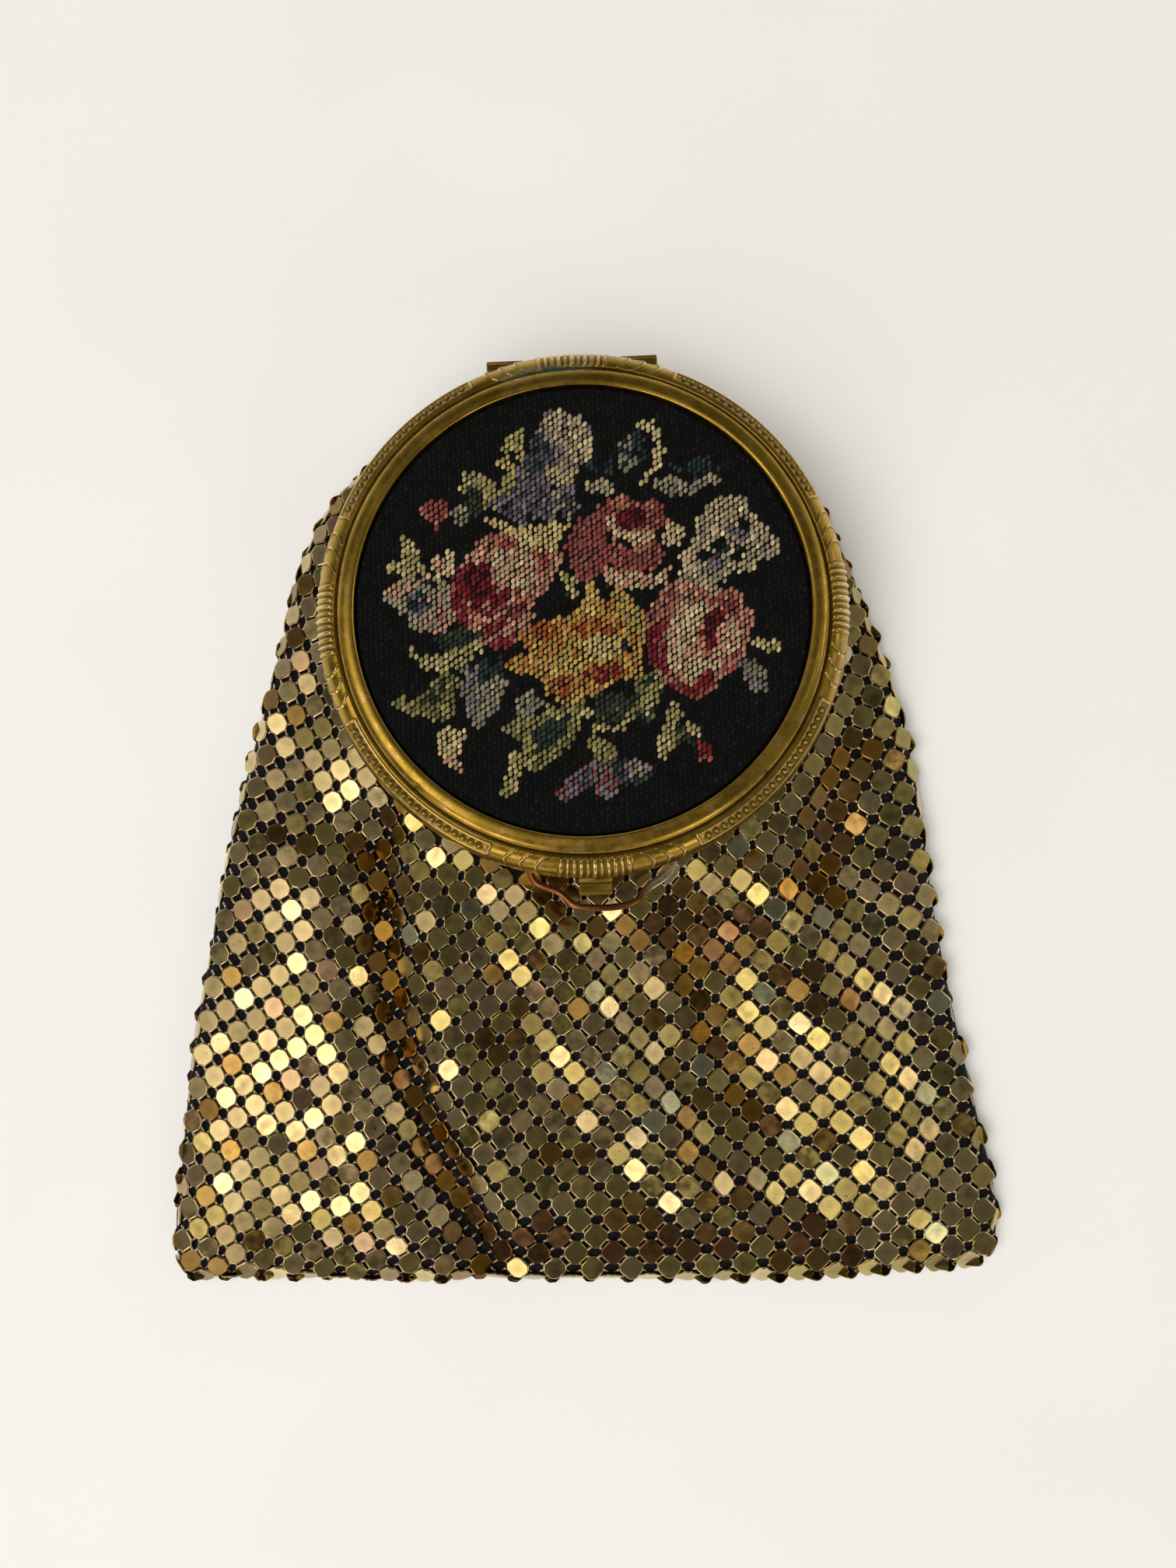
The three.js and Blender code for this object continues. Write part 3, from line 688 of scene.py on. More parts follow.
def case_tray():
    inner = case_radius - case_wall
    collar_outer = inner - piece_gap
    collar_inner = inner - case_wall
    back = hinge_flat
    inside = hinge_flat - hinge_wall
    profile = [
        (0.01, 0, back), (case_radius - 0.8, 0, back - 0.3), (case_radius - 0.25, 0.15, back - 0.15),
        (case_radius, 0.5, back), (case_radius, 2.0, back), (case_radius - 0.12, 2.2, back),
        (case_radius - 0.12, 2.5, back), (case_radius, 2.7, back),
        (case_radius, case_height - 0.15, back), (case_radius - 0.15, case_height, back - 0.1),
        (collar_outer, case_height, back - 0.3), (collar_outer, case_height + collar_rise - 0.15, back - 0.3),
        (collar_outer - 0.15, case_height + collar_rise, back - 0.4),
        (collar_inner + 0.1, case_height + collar_rise, inside + 0.1),
        (collar_inner, case_height + collar_rise - 0.1, inside),
        (collar_inner, case_floor + 0.8, inside), (collar_inner - 0.3, case_floor + 0.2, inside - 0.2),
        (collar_inner - 1.0, case_floor, inside - 0.8), (0.01, case_floor, inside),
    ]
    shape = Shape()
    shape.add(*lathe(flat_runs(profile), 288, base=case_base))
    half = case_knuckle_length / 2
    shape.add(*bar_ring(0, case_knuckle_length, lid_hinge_level, knuckle_radius, bore_radius))
    shape.add(*rounded_box(
        (-half, hinge_flat - 0.5, lid_hinge_level - 1.2),
        (half, hinge_axis - bore_radius - 0.02, lid_hinge_level + 0.9), 0.15))
    shape.add(*bar_ring(0, case_knuckle_length, case_hinge_level, knuckle_radius, bore_radius))
    shape.add(*rounded_box(
        (-half, hinge_flat - 0.5, case_base), (half, hinge_axis - bore_radius - 0.02, case_base + 1.1), 0.15))
    return mesh_piece(
        "case_tray", shape.points, shape.faces, case_metal, "case", ["powder_case"]
    )


def mouth_ring():
    inner = ring_radius - ring_width
    profile = [
        (inner + 0.2, 0), (ring_radius - 0.3, 0), (ring_radius, 0.3), (ring_radius, ring_height - 0.3),
        (ring_radius - 0.3, ring_height), (inner + 0.2, ring_height),
        (inner, ring_height - 0.2), (inner, 0.2),
    ]
    shape = Shape()
    shape.add(*lathe(profile, 288, flat_at=hinge_flat, base=ring_base))
    for middle in lug_centres:
        half = lug_width / 2
        shape.add(*bar_ring(middle, lug_width, case_hinge_level, knuckle_radius, bore_radius))
        shape.add(*rounded_box(
            (middle - half, hinge_flat - 1.0, ring_base),
            (middle + half, hinge_axis - bore_radius - 0.02, ring_base + ring_height), 0.15))
    return mesh_piece(
        "mouth_ring", shape.points, shape.faces, case_metal, "pouch", ["pouch_ring"]
    )


def pin(name, level, body, node):
    half = hinge_length / 2
    columns = 24
    angles = np.linspace(0, 2 * math.pi, columns, endpoint=False)
    rows = []
    for x, radius in ((-half, 0.3), (-half + 0.12, pin_radius), (half - 0.12, pin_radius), (half, 0.3)):
        y = hinge_axis + radius * np.cos(angles)
        rows.append(np.stack([np.full(columns, x), y, level + radius * np.sin(angles)], axis=1))
    points = np.concatenate(rows)
    return mesh_piece(name, points, capped_rows(4, columns), case_metal, body, [node])


loop_route = [
    (-0.96, -0.42), (-0.86, 0.05), (-0.54, 0.42), (-0.32, 0.88), (-0.12, 1.0),
    (0.34, 1.0), (0.56, 0.86), (0.76, 0.4), (1.06, -0.1), (1.16, -0.62),
]


def spline(points, closed=False, steps=24):
    """A centripetal Catmull-Rom curve through the points."""
    points = np.asarray(points, float)
    if not closed:
        points = np.concatenate([[2 * points[0] - points[1]], points, [2 * points[-1] - points[-2]]])
    count = len(points)
    segments = range(count) if closed else range(1, count - 2)
    share = np.linspace(0, 1, steps, endpoint=False)[:, None]
    parts = []
    for i in segments:
        a, b, c, d = (points[(i + k) % count] for k in (-1, 0, 1, 2))
        gaps = [max(np.linalg.norm(q - p) ** 0.5, 1e-4) for p, q in ((a, b), (b, c), (c, d))]
        start = ((b - a) / gaps[0] - (c - a) / (gaps[0] + gaps[1]) + (c - b) / gaps[1]) * gaps[1]
        end = ((c - b) / gaps[1] - (d - b) / (gaps[1] + gaps[2]) + (d - c) / gaps[2]) * gaps[1]
        square = -3 * b + 3 * c - 2 * start - end
        cube = 2 * b - 2 * c + start + end
        parts.append(b + start * share + square * share ** 2 + cube * share ** 3)
    if not closed:
        parts.append(points[-2][None])
    return np.concatenate(parts)


def wire_loop():
    """The bent wire, with its right end hammered into a flat pale strap."""
    level = case_base + case_height * loop_level
    route = [
        (across * loop_half_width, -lid_radius - past * loop_depth, level)
        for across, past in loop_route
    ]
    path = spline(route, steps=10)
    run = np.gradient(path, axis=0)
    run /= np.linalg.norm(run, axis=1)[:, None]
    side = np.cross(run, [0, 0, 1])
    strap = step(path[:, 0], 6.2, 8.2) * (path[:, 1] > -41.5)
    wide = loop_wire_radius * (1 + 0.35 * strap)
    tall = loop_wire_radius * (1 - 0.45 * strap)
    columns = 16
    angles = np.linspace(0, 2 * math.pi, columns, endpoint=False)
    rings = [
        point + across * (w * np.cos(angles))[:, None] + np.array([0, 0, 1]) * (t * np.sin(angles))[:, None]
        for point, across, w, t in zip(path, side, wide, tall)
    ]
    tints = np.repeat(
        (1 - strap)[:, None] * [1.0, 1.0, 1.0] + strap[:, None] * [1.7, 3.4, 6.5], columns, axis=0
    )
    return mesh_piece("wire_loop", np.concatenate(rings), capped_rows(len(path), columns), wire_metal,
                      "case", ["lift_loop"], tint=tints)


# Needlework: tent stitches on a dark ground, from a drawn chart.
# The chart's squares count from its upper left corner, x to the right and y down.

chart_middle = (78.0, 79.0)
chart_radius = 73.9

wools = {
    "black": (0.008, 0.008, 0.007),
    "cream": (0.46, 0.36, 0.17),
    "ivory": (0.50, 0.39, 0.22),
    "pale_pink": (0.45, 0.24, 0.15),
    "pink": (0.34, 0.14, 0.09),
    "rose": (0.235, 0.055, 0.045),
    "crimson": (0.15, 0.016, 0.02),
    "dark_red": (0.06, 0.008, 0.01),
    "mauve": (0.20, 0.065, 0.055),
    "pale_yellow": (0.47, 0.36, 0.12),
    "yellow": (0.42, 0.265, 0.065),
    "orange": (0.37, 0.155, 0.04),
    "rust": (0.28, 0.07, 0.02),
    "leaf": (0.28, 0.24, 0.09),
    "olive": (0.14, 0.125, 0.045),
    "sage": (0.19, 0.175, 0.115),
    "teal": (0.022, 0.036, 0.034),
    "dark_green": (0.032, 0.04, 0.018),
    "lilac": (0.16, 0.13, 0.135),
    "lilac_blue": (0.07, 0.062, 0.075),
    "grey": (0.29, 0.235, 0.15),
}

# Each row: two wools, the share of the second, and the corners of the patch
chart = [
    ("lilac", "grey", 0.45, [(49, 42), (52, 38), (57, 32), (62, 28), (63, 22), (66, 17), (69, 13),
        (74, 12), (78, 14), (82, 16), (84, 21), (83, 27), (81, 31), (78, 34), (77, 40), (78, 46),
        (74, 50), (66, 49), (60, 51), (54, 48), (50, 46)]),
    ("lilac_blue", "lilac", 0.4, [(50, 43), (55, 38), (62, 34), (68, 36), (70, 42), (68, 48), (60, 50),
        (54, 47)]),
    ("lilac_blue", "teal", 0.3, [(64, 20), (69, 22), (71, 30), (66, 34), (61, 32)]),
    ("lilac_blue", "grey", 0.3, [(70, 42), (76, 41), (77, 47), (71, 49)]),
    ("grey", "ivory", 0.5, [(69, 14), (73, 12), (74, 17), (77, 14), (82, 16), (84, 22), (82, 30),
        (76, 30), (76, 25), (71, 25), (66, 21)]),
    ("grey", "cream", 0.4, [(67, 30), (75, 31), (79, 33), (76, 39), (70, 38)]),
    ("black", "teal", 0.4, [(53, 42), (57, 41), (57, 44), (54, 45)]),
    ("black", "lilac_blue", 0.3, [(60, 48), (63, 47), (64, 50), (61, 51)]),
    ("black", "lilac_blue", 0.3, [(69, 37), (71, 37), (71, 40), (69, 40)]),
    ("black", "lilac_blue", 0.3, [(71, 46), (74, 45), (73, 48), (71, 48)]),
    ("leaf", "pale_yellow", 0.4, [(54, 20), (61, 19), (61, 26), (60, 29), (57, 27), (54, 25)]),
    ("leaf", "pale_yellow", 0.5, [(51, 29), (55, 27), (57, 30), (58, 35), (55, 41), (53, 37), (55, 33)]),
    ("teal", "black", 0.4, [(80, 30), (88, 29), (91, 34), (84, 36), (80, 34)]),
    ("grey", "cream", 0.4, [(80, 37), (83, 36), (86, 35), (89, 37), (91, 40), (87, 42), (82, 41)]),
    ("teal", "black", 0.3, [(94, 22), (100, 20), (102, 27), (100, 34), (95, 33)]),
    ("sage", "teal", 0.35, [(93, 24), (96, 21), (98, 23), (96, 27), (98, 31), (95, 35), (92, 33),
        (91, 28)]),
    ("cream", "ivory", 0.4, [(98, 17), (104, 17), (107, 22), (107, 28), (105, 33), (102, 31), (104, 25),
        (102, 21), (98, 20)]),
    ("cream", "leaf", 0.4, [(103, 33), (105, 33), (101, 38), (99, 41), (98, 39)]),
    ("teal", "black", 0.4, [(108, 32), (120, 30), (125, 34), (122, 37), (110, 36)]),
    ("grey", "sage", 0.5, [(103, 38), (108, 36), (114, 40), (119, 36), (124, 36), (126, 40), (121, 41),
        (116, 43), (109, 43), (104, 41)]),
    ("leaf", "cream", 0.3, [(39, 36), (41, 30), (43, 32), (47, 32), (50, 34), (51, 39), (48, 44),
        (45, 41), (42, 41), (39, 39)]),
    ("dark_green", "teal", 0.4, [(42, 37), (45, 36), (47, 41), (46, 47), (41, 46), (41, 41)]),
    ("rose", "pink", 0.35, [(25, 42), (29, 40), (35, 42), (36, 45), (33, 48), (31, 51), (29, 47),
        (26, 46)]),
    ("sage", "grey", 0.5, [(36, 44), (41, 43), (43, 47), (41, 50), (37, 48)]),
    # Left rose
    ("pink", "pale_pink", 0.5, [(40, 60), (46, 54), (52, 53), (60, 56), (70, 56), (72, 62), (69, 70),
        (63, 76), (60, 86), (53, 92), (47, 90), (40, 85), (36, 80), (35, 72), (36, 66)]),
    ("cream", "pale_yellow", 0.3, [(46, 47), (50, 48), (54, 50), (62, 51), (70, 50), (75, 51), (72, 56),
        (68, 60), (60, 58), (55, 55), (50, 51)]),
    ("rose", "pink", 0.4, [(48, 53), (53, 53), (56, 57), (53, 59), (49, 57)]),
    ("ivory", "pale_pink", 0.45, [(48, 58), (54, 58), (58, 59), (63, 62), (63, 69), (59, 74), (54, 74),
        (50, 68), (48, 63)]),
    ("pink", "rose", 0.35, [(63, 60), (68, 60), (70, 64), (67, 70), (64, 68)]),
    ("crimson", "rose", 0.35, [(36, 65), (39, 63), (41, 66), (40, 74), (42, 82), (38, 84), (35, 78),
        (35, 70)]),
    ("crimson", "dark_red", 0.55, [(41, 62), (46, 62), (49, 67), (49, 73), (46, 76), (43, 80), (41, 76),
        (40, 68)]),
    ("pale_pink", "pink", 0.4, [(40, 61), (43, 58), (44, 60), (41, 64)]),
    ("pale_pink", "rose", 0.5, [(45, 78), (52, 71), (58, 70), (60, 73), (52, 80), (46, 84)]),
    ("crimson", "rose", 0.4, [(47, 77), (51, 72), (56, 71), (53, 76), (48, 81)]),
    ("rose", "crimson", 0.35, [(44, 84), (52, 80), (60, 76), (59, 82), (52, 86), (46, 87)]),
    ("pale_pink", "pink", 0.4, [(48, 86), (56, 81), (61, 80), (58, 86), (52, 89)]),
    ("crimson", "rose", 0.5, [(47, 90), (50, 87), (55, 86), (54, 92), (50, 92)]),
    # Upper rose
    ("rose", "mauve", 0.5, [(75, 51), (79, 49), (83, 47), (86, 48), (87, 56), (87, 64), (83, 70),
        (80, 71), (75, 68), (73, 60)]),
    ("mauve", "rose", 0.35, [(75, 56), (80, 56), (84, 60), (82, 66), (78, 66), (75, 62)]),
    ("rose", "pink", 0.4, [(84, 46), (88, 43), (93, 41), (96, 44), (102, 44), (107, 46), (107, 52),
        (102, 56), (94, 56), (88, 54), (85, 50)]),
    ("ivory", "pale_pink", 0.4, [(86, 49), (89, 49), (90, 53), (95, 55), (102, 54), (104, 57), (96, 59),
        (89, 57)]),
    ("dark_red", "crimson", 0.45, [(90, 48), (95, 46), (100, 48), (100, 52), (96, 54), (91, 52)]),
    ("pink", "rose", 0.5, [(87, 58), (95, 59), (104, 58), (106, 63), (101, 68), (94, 68), (87, 65)]),
    ("mauve", "rose", 0.4, [(90, 62), (98, 62), (104, 62), (101, 67), (93, 67)]),
    ("ivory", "cream", 0.4, [(104, 55), (109, 52), (113, 54), (111, 59), (106, 61)]),
    ("ivory", "pale_pink", 0.5, [(86, 66), (92, 67), (100, 69), (107, 67), (106, 72), (102, 74), (96, 73),
        (90, 74), (86, 72)]),
    ("leaf", "cream", 0.5, [(70, 68), (74, 67), (77, 70), (75, 77), (72, 78)]),
    ("black", "dark_green", 0.3, [(71, 70), (73, 69), (73, 76), (71, 76)]),
    # Right blossoms
    ("grey", "ivory", 0.5, [(115, 53), (119, 47), (124, 44), (129, 44), (133, 43), (134, 48), (137, 53),
        (142, 57), (144, 61), (142, 66), (137, 65), (134, 70), (128, 70), (124, 73), (117, 75), (111, 77),
        (109, 70), (112, 65), (107, 63), (114, 60)]),
    ("lilac", "grey", 0.4, [(125, 54), (131, 53), (135, 56), (132, 60), (126, 59)]),
    ("lilac", "mauve", 0.3, [(119, 64), (126, 65), (124, 69), (118, 69)]),
    ("lilac", "grey", 0.4, [(136, 57), (140, 58), (140, 63), (136, 62)]),
    ("black", "teal", 0.3, [(122, 58), (125, 58), (127, 62), (124, 64), (121, 61)]),
    ("black", "teal", 0.3, [(128, 61), (131, 62), (130, 65), (127, 65)]),
    ("black", "teal", 0.3, [(117, 61), (121, 62), (119, 65), (115, 64)]),
    ("black", "teal", 0.3, [(131, 52), (134, 53), (133, 56), (131, 55)]),
    # Right rose
    ("pink", "pale_pink", 0.45, [(99, 80), (104, 74), (110, 71), (116, 74), (124, 74), (130, 77),
        (133, 83), (132, 92), (129, 98), (123, 104), (118, 109), (112, 111), (106, 108), (102, 103),
        (98, 96), (98, 86)]),
    ("mauve", "pink", 0.5, [(99, 82), (105, 75), (110, 72), (108, 78), (102, 84)]),
    ("crimson", "rose", 0.35, [(98, 87), (103, 84), (107, 84), (104, 90), (105, 97), (104, 103),
        (99, 99)]),
    ("ivory", "pale_pink", 0.25, [(109, 80), (115, 78), (120, 79), (116, 85), (114, 92), (117, 98),
        (123, 98), (118, 103), (111, 105), (105, 101), (104, 92)]),
    ("rose", "pale_pink", 0.4, [(117, 80), (121, 76), (127, 77), (131, 81), (129, 86), (125, 83),
        (121, 82)]),
    ("pale_pink", "ivory", 0.5, [(125, 86), (129, 86), (130, 92), (126, 98), (121, 96), (124, 91)]),
    ("crimson", "dark_red", 0.55, [(117, 83), (121, 80), (124, 83), (123, 89), (119, 96), (116, 93),
        (117, 88)]),
    ("pale_pink", "pink", 0.3, [(121, 87), (123, 86), (123, 92), (120, 95)]),
    ("rose", "crimson", 0.45, [(104, 104), (112, 106), (118, 101), (119, 106), (115, 111), (108, 109)]),
    ("rose", "pink", 0.4, [(123, 97), (129, 94), (127, 101), (122, 103)]),
    # Yellow flower
    ("yellow", "orange", 0.4, [(55, 88), (60, 84), (66, 82), (73, 81), (77, 78), (79, 73), (82, 71),
        (84, 73), (84, 79), (87, 78), (87, 74), (94, 74), (95, 79), (98, 82), (98, 91), (96, 97),
        (97, 103), (93, 104), (90, 101), (86, 105), (80, 107), (74, 111), (69, 109), (65, 107), (63, 101),
        (58, 100), (52, 98), (55, 94), (60, 92)]),
    ("pale_yellow", "yellow", 0.4, [(77, 78), (79, 74), (83, 72), (84, 78), (82, 81)]),
    ("yellow", "leaf", 0.3, [(87, 74), (93, 75), (96, 81), (97, 90), (92, 88), (89, 80)]),
    ("rust", "orange", 0.45, [(60, 84), (67, 83), (70, 86), (66, 90), (61, 89)]),
    ("rust", "orange", 0.55, [(75, 84), (82, 81), (88, 84), (89, 88), (80, 89), (74, 88)]),
    ("orange", "yellow", 0.5, [(60, 90), (68, 90), (70, 96), (62, 98)]),
    ("pale_yellow", "cream", 0.4, [(77, 89), (84, 88), (90, 89), (91, 94), (85, 97), (78, 96)]),
    ("rust", "crimson", 0.3, [(77, 100), (84, 98), (90, 98), (92, 101), (86, 104), (79, 104)]),
    ("rust", "orange", 0.5, [(67, 103), (73, 101), (76, 105), (71, 109), (67, 108)]),
    ("yellow", "pale_yellow", 0.5, [(66, 95), (75, 95), (78, 98), (73, 101), (66, 101)]),
    ("orange", "yellow", 0.25, [(52, 97), (56, 93), (60, 95), (58, 100)]),
    ("black", "dark_green", 0.3, [(85, 71), (87, 71), (87, 78), (85, 79)]),
    ("black", "teal", 0.4, [(91, 91), (93, 92), (92, 96), (90, 95)]),
    # Left blossom
    ("grey", "pale_pink", 0.3, [(12, 72), (16, 69), (22, 66), (28, 66), (34, 68), (36, 75), (36, 81),
        (33, 86), (28, 85), (24, 84), (19, 79), (14, 75)]),
    ("lilac", "teal", 0.35, [(20, 72), (25, 71), (28, 76), (26, 80), (21, 79)]),
    ("teal", "lilac_blue", 0.4, [(23, 75), (26, 74), (27, 79), (24, 79)]),
    ("pale_pink", "pink", 0.3, [(30, 78), (34, 78), (34, 84), (30, 86)]),
    ("cream", "leaf", 0.35, [(19, 53), (22, 52), (25, 58), (24, 64), (20, 61)]),
    ("cream", "leaf", 0.3, [(13, 62), (19, 60), (25, 61), (29, 65), (22, 65), (16, 65)]),
    ("ivory", "pale_pink", 0.45, [(27, 61), (32, 60), (35, 57), (37, 60), (36, 66), (31, 67)]),
    ("black", "teal", 0.3, [(28, 67), (31, 68), (29, 71)]),
    # Leaves
    ("sage", "lilac", 0.4, [(38, 97), (44, 94), (51, 97), (52, 104), (50, 110), (45, 115), (42, 119),
        (39, 113), (37, 105)]),
    ("teal", "dark_green", 0.4, [(79, 108), (90, 107), (94, 111), (88, 117), (81, 117)]),
    ("cream", "leaf", 0.45, [(53, 124), (57, 126), (57, 131), (54, 137), (51, 141), (49, 139),
        (51, 131)]),
    ("lilac_blue", "teal", 0.4, [(84, 128), (92, 129), (98, 133), (94, 139), (88, 138), (84, 134)]),
    ("sage", "leaf", 0.4, [(57, 114), (66, 112), (70, 118), (64, 128), (58, 133), (56, 125)]),
    ("olive", "teal", 0.4, [(93, 104), (101, 100), (103, 108), (98, 117), (93, 114)]),
    ("dark_green", "teal", 0.3, [(29, 86), (37, 84), (45, 86), (43, 90), (33, 92)]),
    ("leaf", "cream", 0.4, [(20, 90), (25, 92), (31, 93), (39, 90), (46, 87), (45, 91), (39, 96),
        (31, 98), (24, 96)]),
    ("cream", "leaf", 0.4, [(20, 88), (23, 89), (25, 94), (22, 94)]),
    ("teal", "black", 0.35, [(44, 94), (51, 93), (51, 99), (43, 104), (38, 100)]),
    ("leaf", "olive", 0.4, [(14, 108), (17, 106), (22, 107), (27, 101), (33, 98), (37, 101), (36, 106),
        (35, 113), (28, 114), (21, 112)]),
    ("dark_green", "olive", 0.4, [(25, 105), (31, 101), (34, 104), (29, 109), (24, 109)]),
    ("sage", "lilac", 0.4, [(38, 99), (43, 97), (43, 104), (41, 108), (38, 107)]),
    ("grey", "sage", 0.35, [(44, 108), (48, 102), (51, 99), (52, 102), (50, 109), (45, 113), (42, 119),
        (40, 116), (41, 111)]),
    ("cream", "leaf", 0.4, [(29, 120), (33, 115), (38, 118), (37, 125), (31, 126), (27, 123)]),
    ("pale_pink", "cream", 0.5, [(30, 125), (36, 124), (36, 131), (32, 130)]),
    ("sage", "grey", 0.5, [(55, 107), (60, 105), (63, 110), (59, 114), (54, 112)]),
    ("leaf", "olive", 0.4, [(50, 118), (55, 113), (61, 114), (66, 110), (71, 111), (76, 109), (76, 116),
        (72, 124), (66, 129), (60, 132), (55, 130), (57, 124), (54, 121)]),
    ("dark_green", "teal", 0.45, [(60, 119), (66, 115), (72, 114), (71, 120), (65, 125), (60, 126)]),
    ("leaf", "cream", 0.4, [(50, 133), (55, 131), (55, 136), (51, 141), (49, 139)]),
    ("leaf", "cream", 0.5, [(76, 108), (79, 113), (80, 117), (86, 118), (91, 114), (94, 113), (92, 118),
        (86, 121), (80, 120), (77, 115)]),
    ("dark_green", "olive", 0.4, [(82, 113), (89, 112), (89, 116), (83, 117)]),
    ("leaf", "olive", 0.35, [(77, 122), (82, 122), (86, 125), (87, 129), (82, 131), (78, 129)]),
    ("leaf", "cream", 0.35, [(95, 112), (96, 107), (101, 103), (103, 107), (101, 112), (97, 115)]),
    ("lilac", "mauve", 0.35, [(66, 140), (70, 135), (75, 131), (80, 128), (84, 131), (87, 135), (86, 141),
        (82, 142), (77, 138), (71, 142)]),
    ("lilac", "grey", 0.5, [(88, 130), (93, 128), (98, 132), (95, 135), (90, 134)]),
    ("lilac_blue", "lilac", 0.4, [(74, 133), (79, 132), (79, 137), (74, 138)]),
    ("leaf", "cream", 0.35, [(100, 131), (100, 125), (103, 117), (105, 109), (108, 112), (109, 118),
        (106, 123), (104, 128)]),
    ("dark_green", "olive", 0.4, [(106, 118), (110, 119), (111, 125), (107, 126)]),
    ("leaf", "cream", 0.5, [(109, 116), (112, 118), (115, 122), (112, 124)]),
    ("rose", "crimson", 0.4, [(111, 125), (114, 123), (118, 127), (118, 131), (113, 131)]),
    ("leaf", "cream", 0.45, [(132, 91), (137, 92), (143, 94), (141, 97), (135, 96), (132, 94)]),
    ("sage", "lilac", 0.5, [(128, 99), (133, 98), (137, 104), (138, 109), (132, 109), (129, 105)]),
]


def inside(polygon, x, y):
    """Which of the points lie in the polygon."""
    found = np.zeros(len(x), bool)
    for (ax, ay), (bx, by) in zip(polygon, polygon[1:] + polygon[:1]):
        if ay == by:
            continue
        crosses = (ay > y) != (by > y)
        found ^= crosses & (x < (bx - ax) * (y - ay) / (by - ay) + ax)
    return found


stitch_pitch = 0.7  # from column to column
stitch_step = 0.86  # along a column, of which every second one is half a step on
panel_radius = opening_radius - piece_gap
ground_top = lid_base + panel_seat + piece_gap + 0.25


def stitch_places():
    """Middles of the stitches, column by column."""
    columns = int(panel_radius / stitch_pitch) + 1
    rows = int(panel_radius / stitch_step) + 1
    places = []
    for column in range(-columns, columns + 1):
        for row in range(-rows, rows + 1):
            x = column * stitch_pitch
            y = (row + (0.5 if column % 2 else 0)) * stitch_step
            if math.hypot(x, y) < panel_radius - 0.3:
                places.append((x, y))
    return np.array(places)


def stitch_colours(places, rng):
    """One wool for each stitch, from the chart, and whether it is part of the picture."""
    x = chart_middle[0] + places[:, 0] / panel_radius * chart_radius
    y = chart_middle[1] - places[:, 1] / panel_radius * chart_radius
    colours = np.tile(np.array(wools["black"]), (len(places), 1))
    drawn = np.zeros(len(places), bool)
    edge_x = x + rng.normal(0, 0.35, len(x))
    edge_y = y + rng.normal(0, 0.35, len(x))
    for first, second, share, patch in chart:
        hit = inside(patch, edge_x, edge_y)
        second_wool = rng.random(len(x)) < share
        colours[hit & ~second_wool] = wools[first]
        colours[hit & second_wool] = wools[second]
        drawn[hit] = True
    return colours * rng.lognormal(0, 0.17, len(x))[:, None], drawn


def stitches(name, places, colours, rng, around, height):
    """Slanting oval stitches as one mesh."""
    lean = math.radians(66)
    angles = np.linspace(0, 2 * math.pi, around, endpoint=False)
    count = len(places)
    long_half = 0.5
    short_half = 0.33
    turn = lean + rng.normal(0, 0.14, count)
    size = rng.normal(1, 0.08, count)
    rings = []
    for grow, level in ((1.0, -0.06), (0.86, height * 0.62)):
        along = np.cos(angles) * long_half * grow
        across = np.sin(angles) * short_half * grow
        x = places[:, :1] + size[:, None] * (np.cos(turn)[:, None] * along - np.sin(turn)[:, None] * across)
        y = places[:, 1:2] + size[:, None] * (np.sin(turn)[:, None] * along + np.cos(turn)[:, None] * across)
        rings.append(np.stack([x, y, np.full_like(x, ground_top + level)], axis=-1))
    peak = np.column_stack([places, np.full(count, ground_top + height) + rng.normal(0, 0.015, count)])
    points = np.concatenate([rings[0], rings[1], peak[:, None, :]], axis=1).reshape(-1, 3)
    each = 2 * around + 1
    pattern = []
    for i in range(around):
        j = (i + 1) % around
        pattern.append((i, j, around + j, around + i))
        pattern.append((around + i, around + j, 2 * around))
    pattern.append(tuple(reversed(range(around))))
    faces = [tuple(first + k for k in face) for first in range(0, count * each, each) for face in pattern]
    return mesh_piece(name, points, faces, wool, "lid", ["needlework_panel"],
                      tint=np.repeat(colours, each, axis=0))


def needlework():
    rng = np.random.default_rng(11)
    profile = [
        (0.01, 0), (panel_radius - 0.1, 0), (panel_radius, 0.08), (panel_radius - 0.1, 0.25), (0.01, 0.25),
    ]
    points, faces = lathe(flat_runs(profile), 128, base=ground_top - 0.25)
    ground = mesh_piece("needlework_ground", points, faces, wool, "lid", ["needlework_panel"],
                        tint=np.tile([0.006, 0.006, 0.007], (len(points), 1)))
    places = stitch_places()
    places += rng.normal(0, 0.05, places.shape)
    colours, drawn = stitch_colours(places, rng)
    picture = stitches("stitches_picture", places[drawn], colours[drawn], rng, 8, 0.2)
    dark = stitches("stitches_ground", places[~drawn], colours[~drawn], rng, 6, 0.16)


# The pouch's outer skin

back_outline = [(14, 1.165), (30, 1.165), (60, 1.1), (90, 1.055), (120, 1.11), (148, 1.215), (164, 1.25)]
side_outline = [
    (-0.01, 0.42, 0.31), (0.14, 0.57, 0.5), (0.3, 0.715, 0.61), (0.46, 0.82, 0.67),
    (0.62, 0.92, 0.77), (0.8, 0.975, 0.91), (0.91, 1, 0.985),
]
bottom_outline = [
    (-0.975, 0.953), (-0.78, 0.964), (-0.5, 0.975), (-0.02, 0.989),
    (0.22, 0.996), (0.54, 1), (0.73, 0.996), (0.965, 0.982),
]
sheet_profile = [
    (0, 1), (0.06, 0.93), (0.15, 0.8), (0.26, 0.68), (0.38, 0.6), (0.5, 0.56),
    (0.62, 0.53), (0.74, 0.5), (0.86, 0.46), (0.95, 0.34), (1, 0),
]
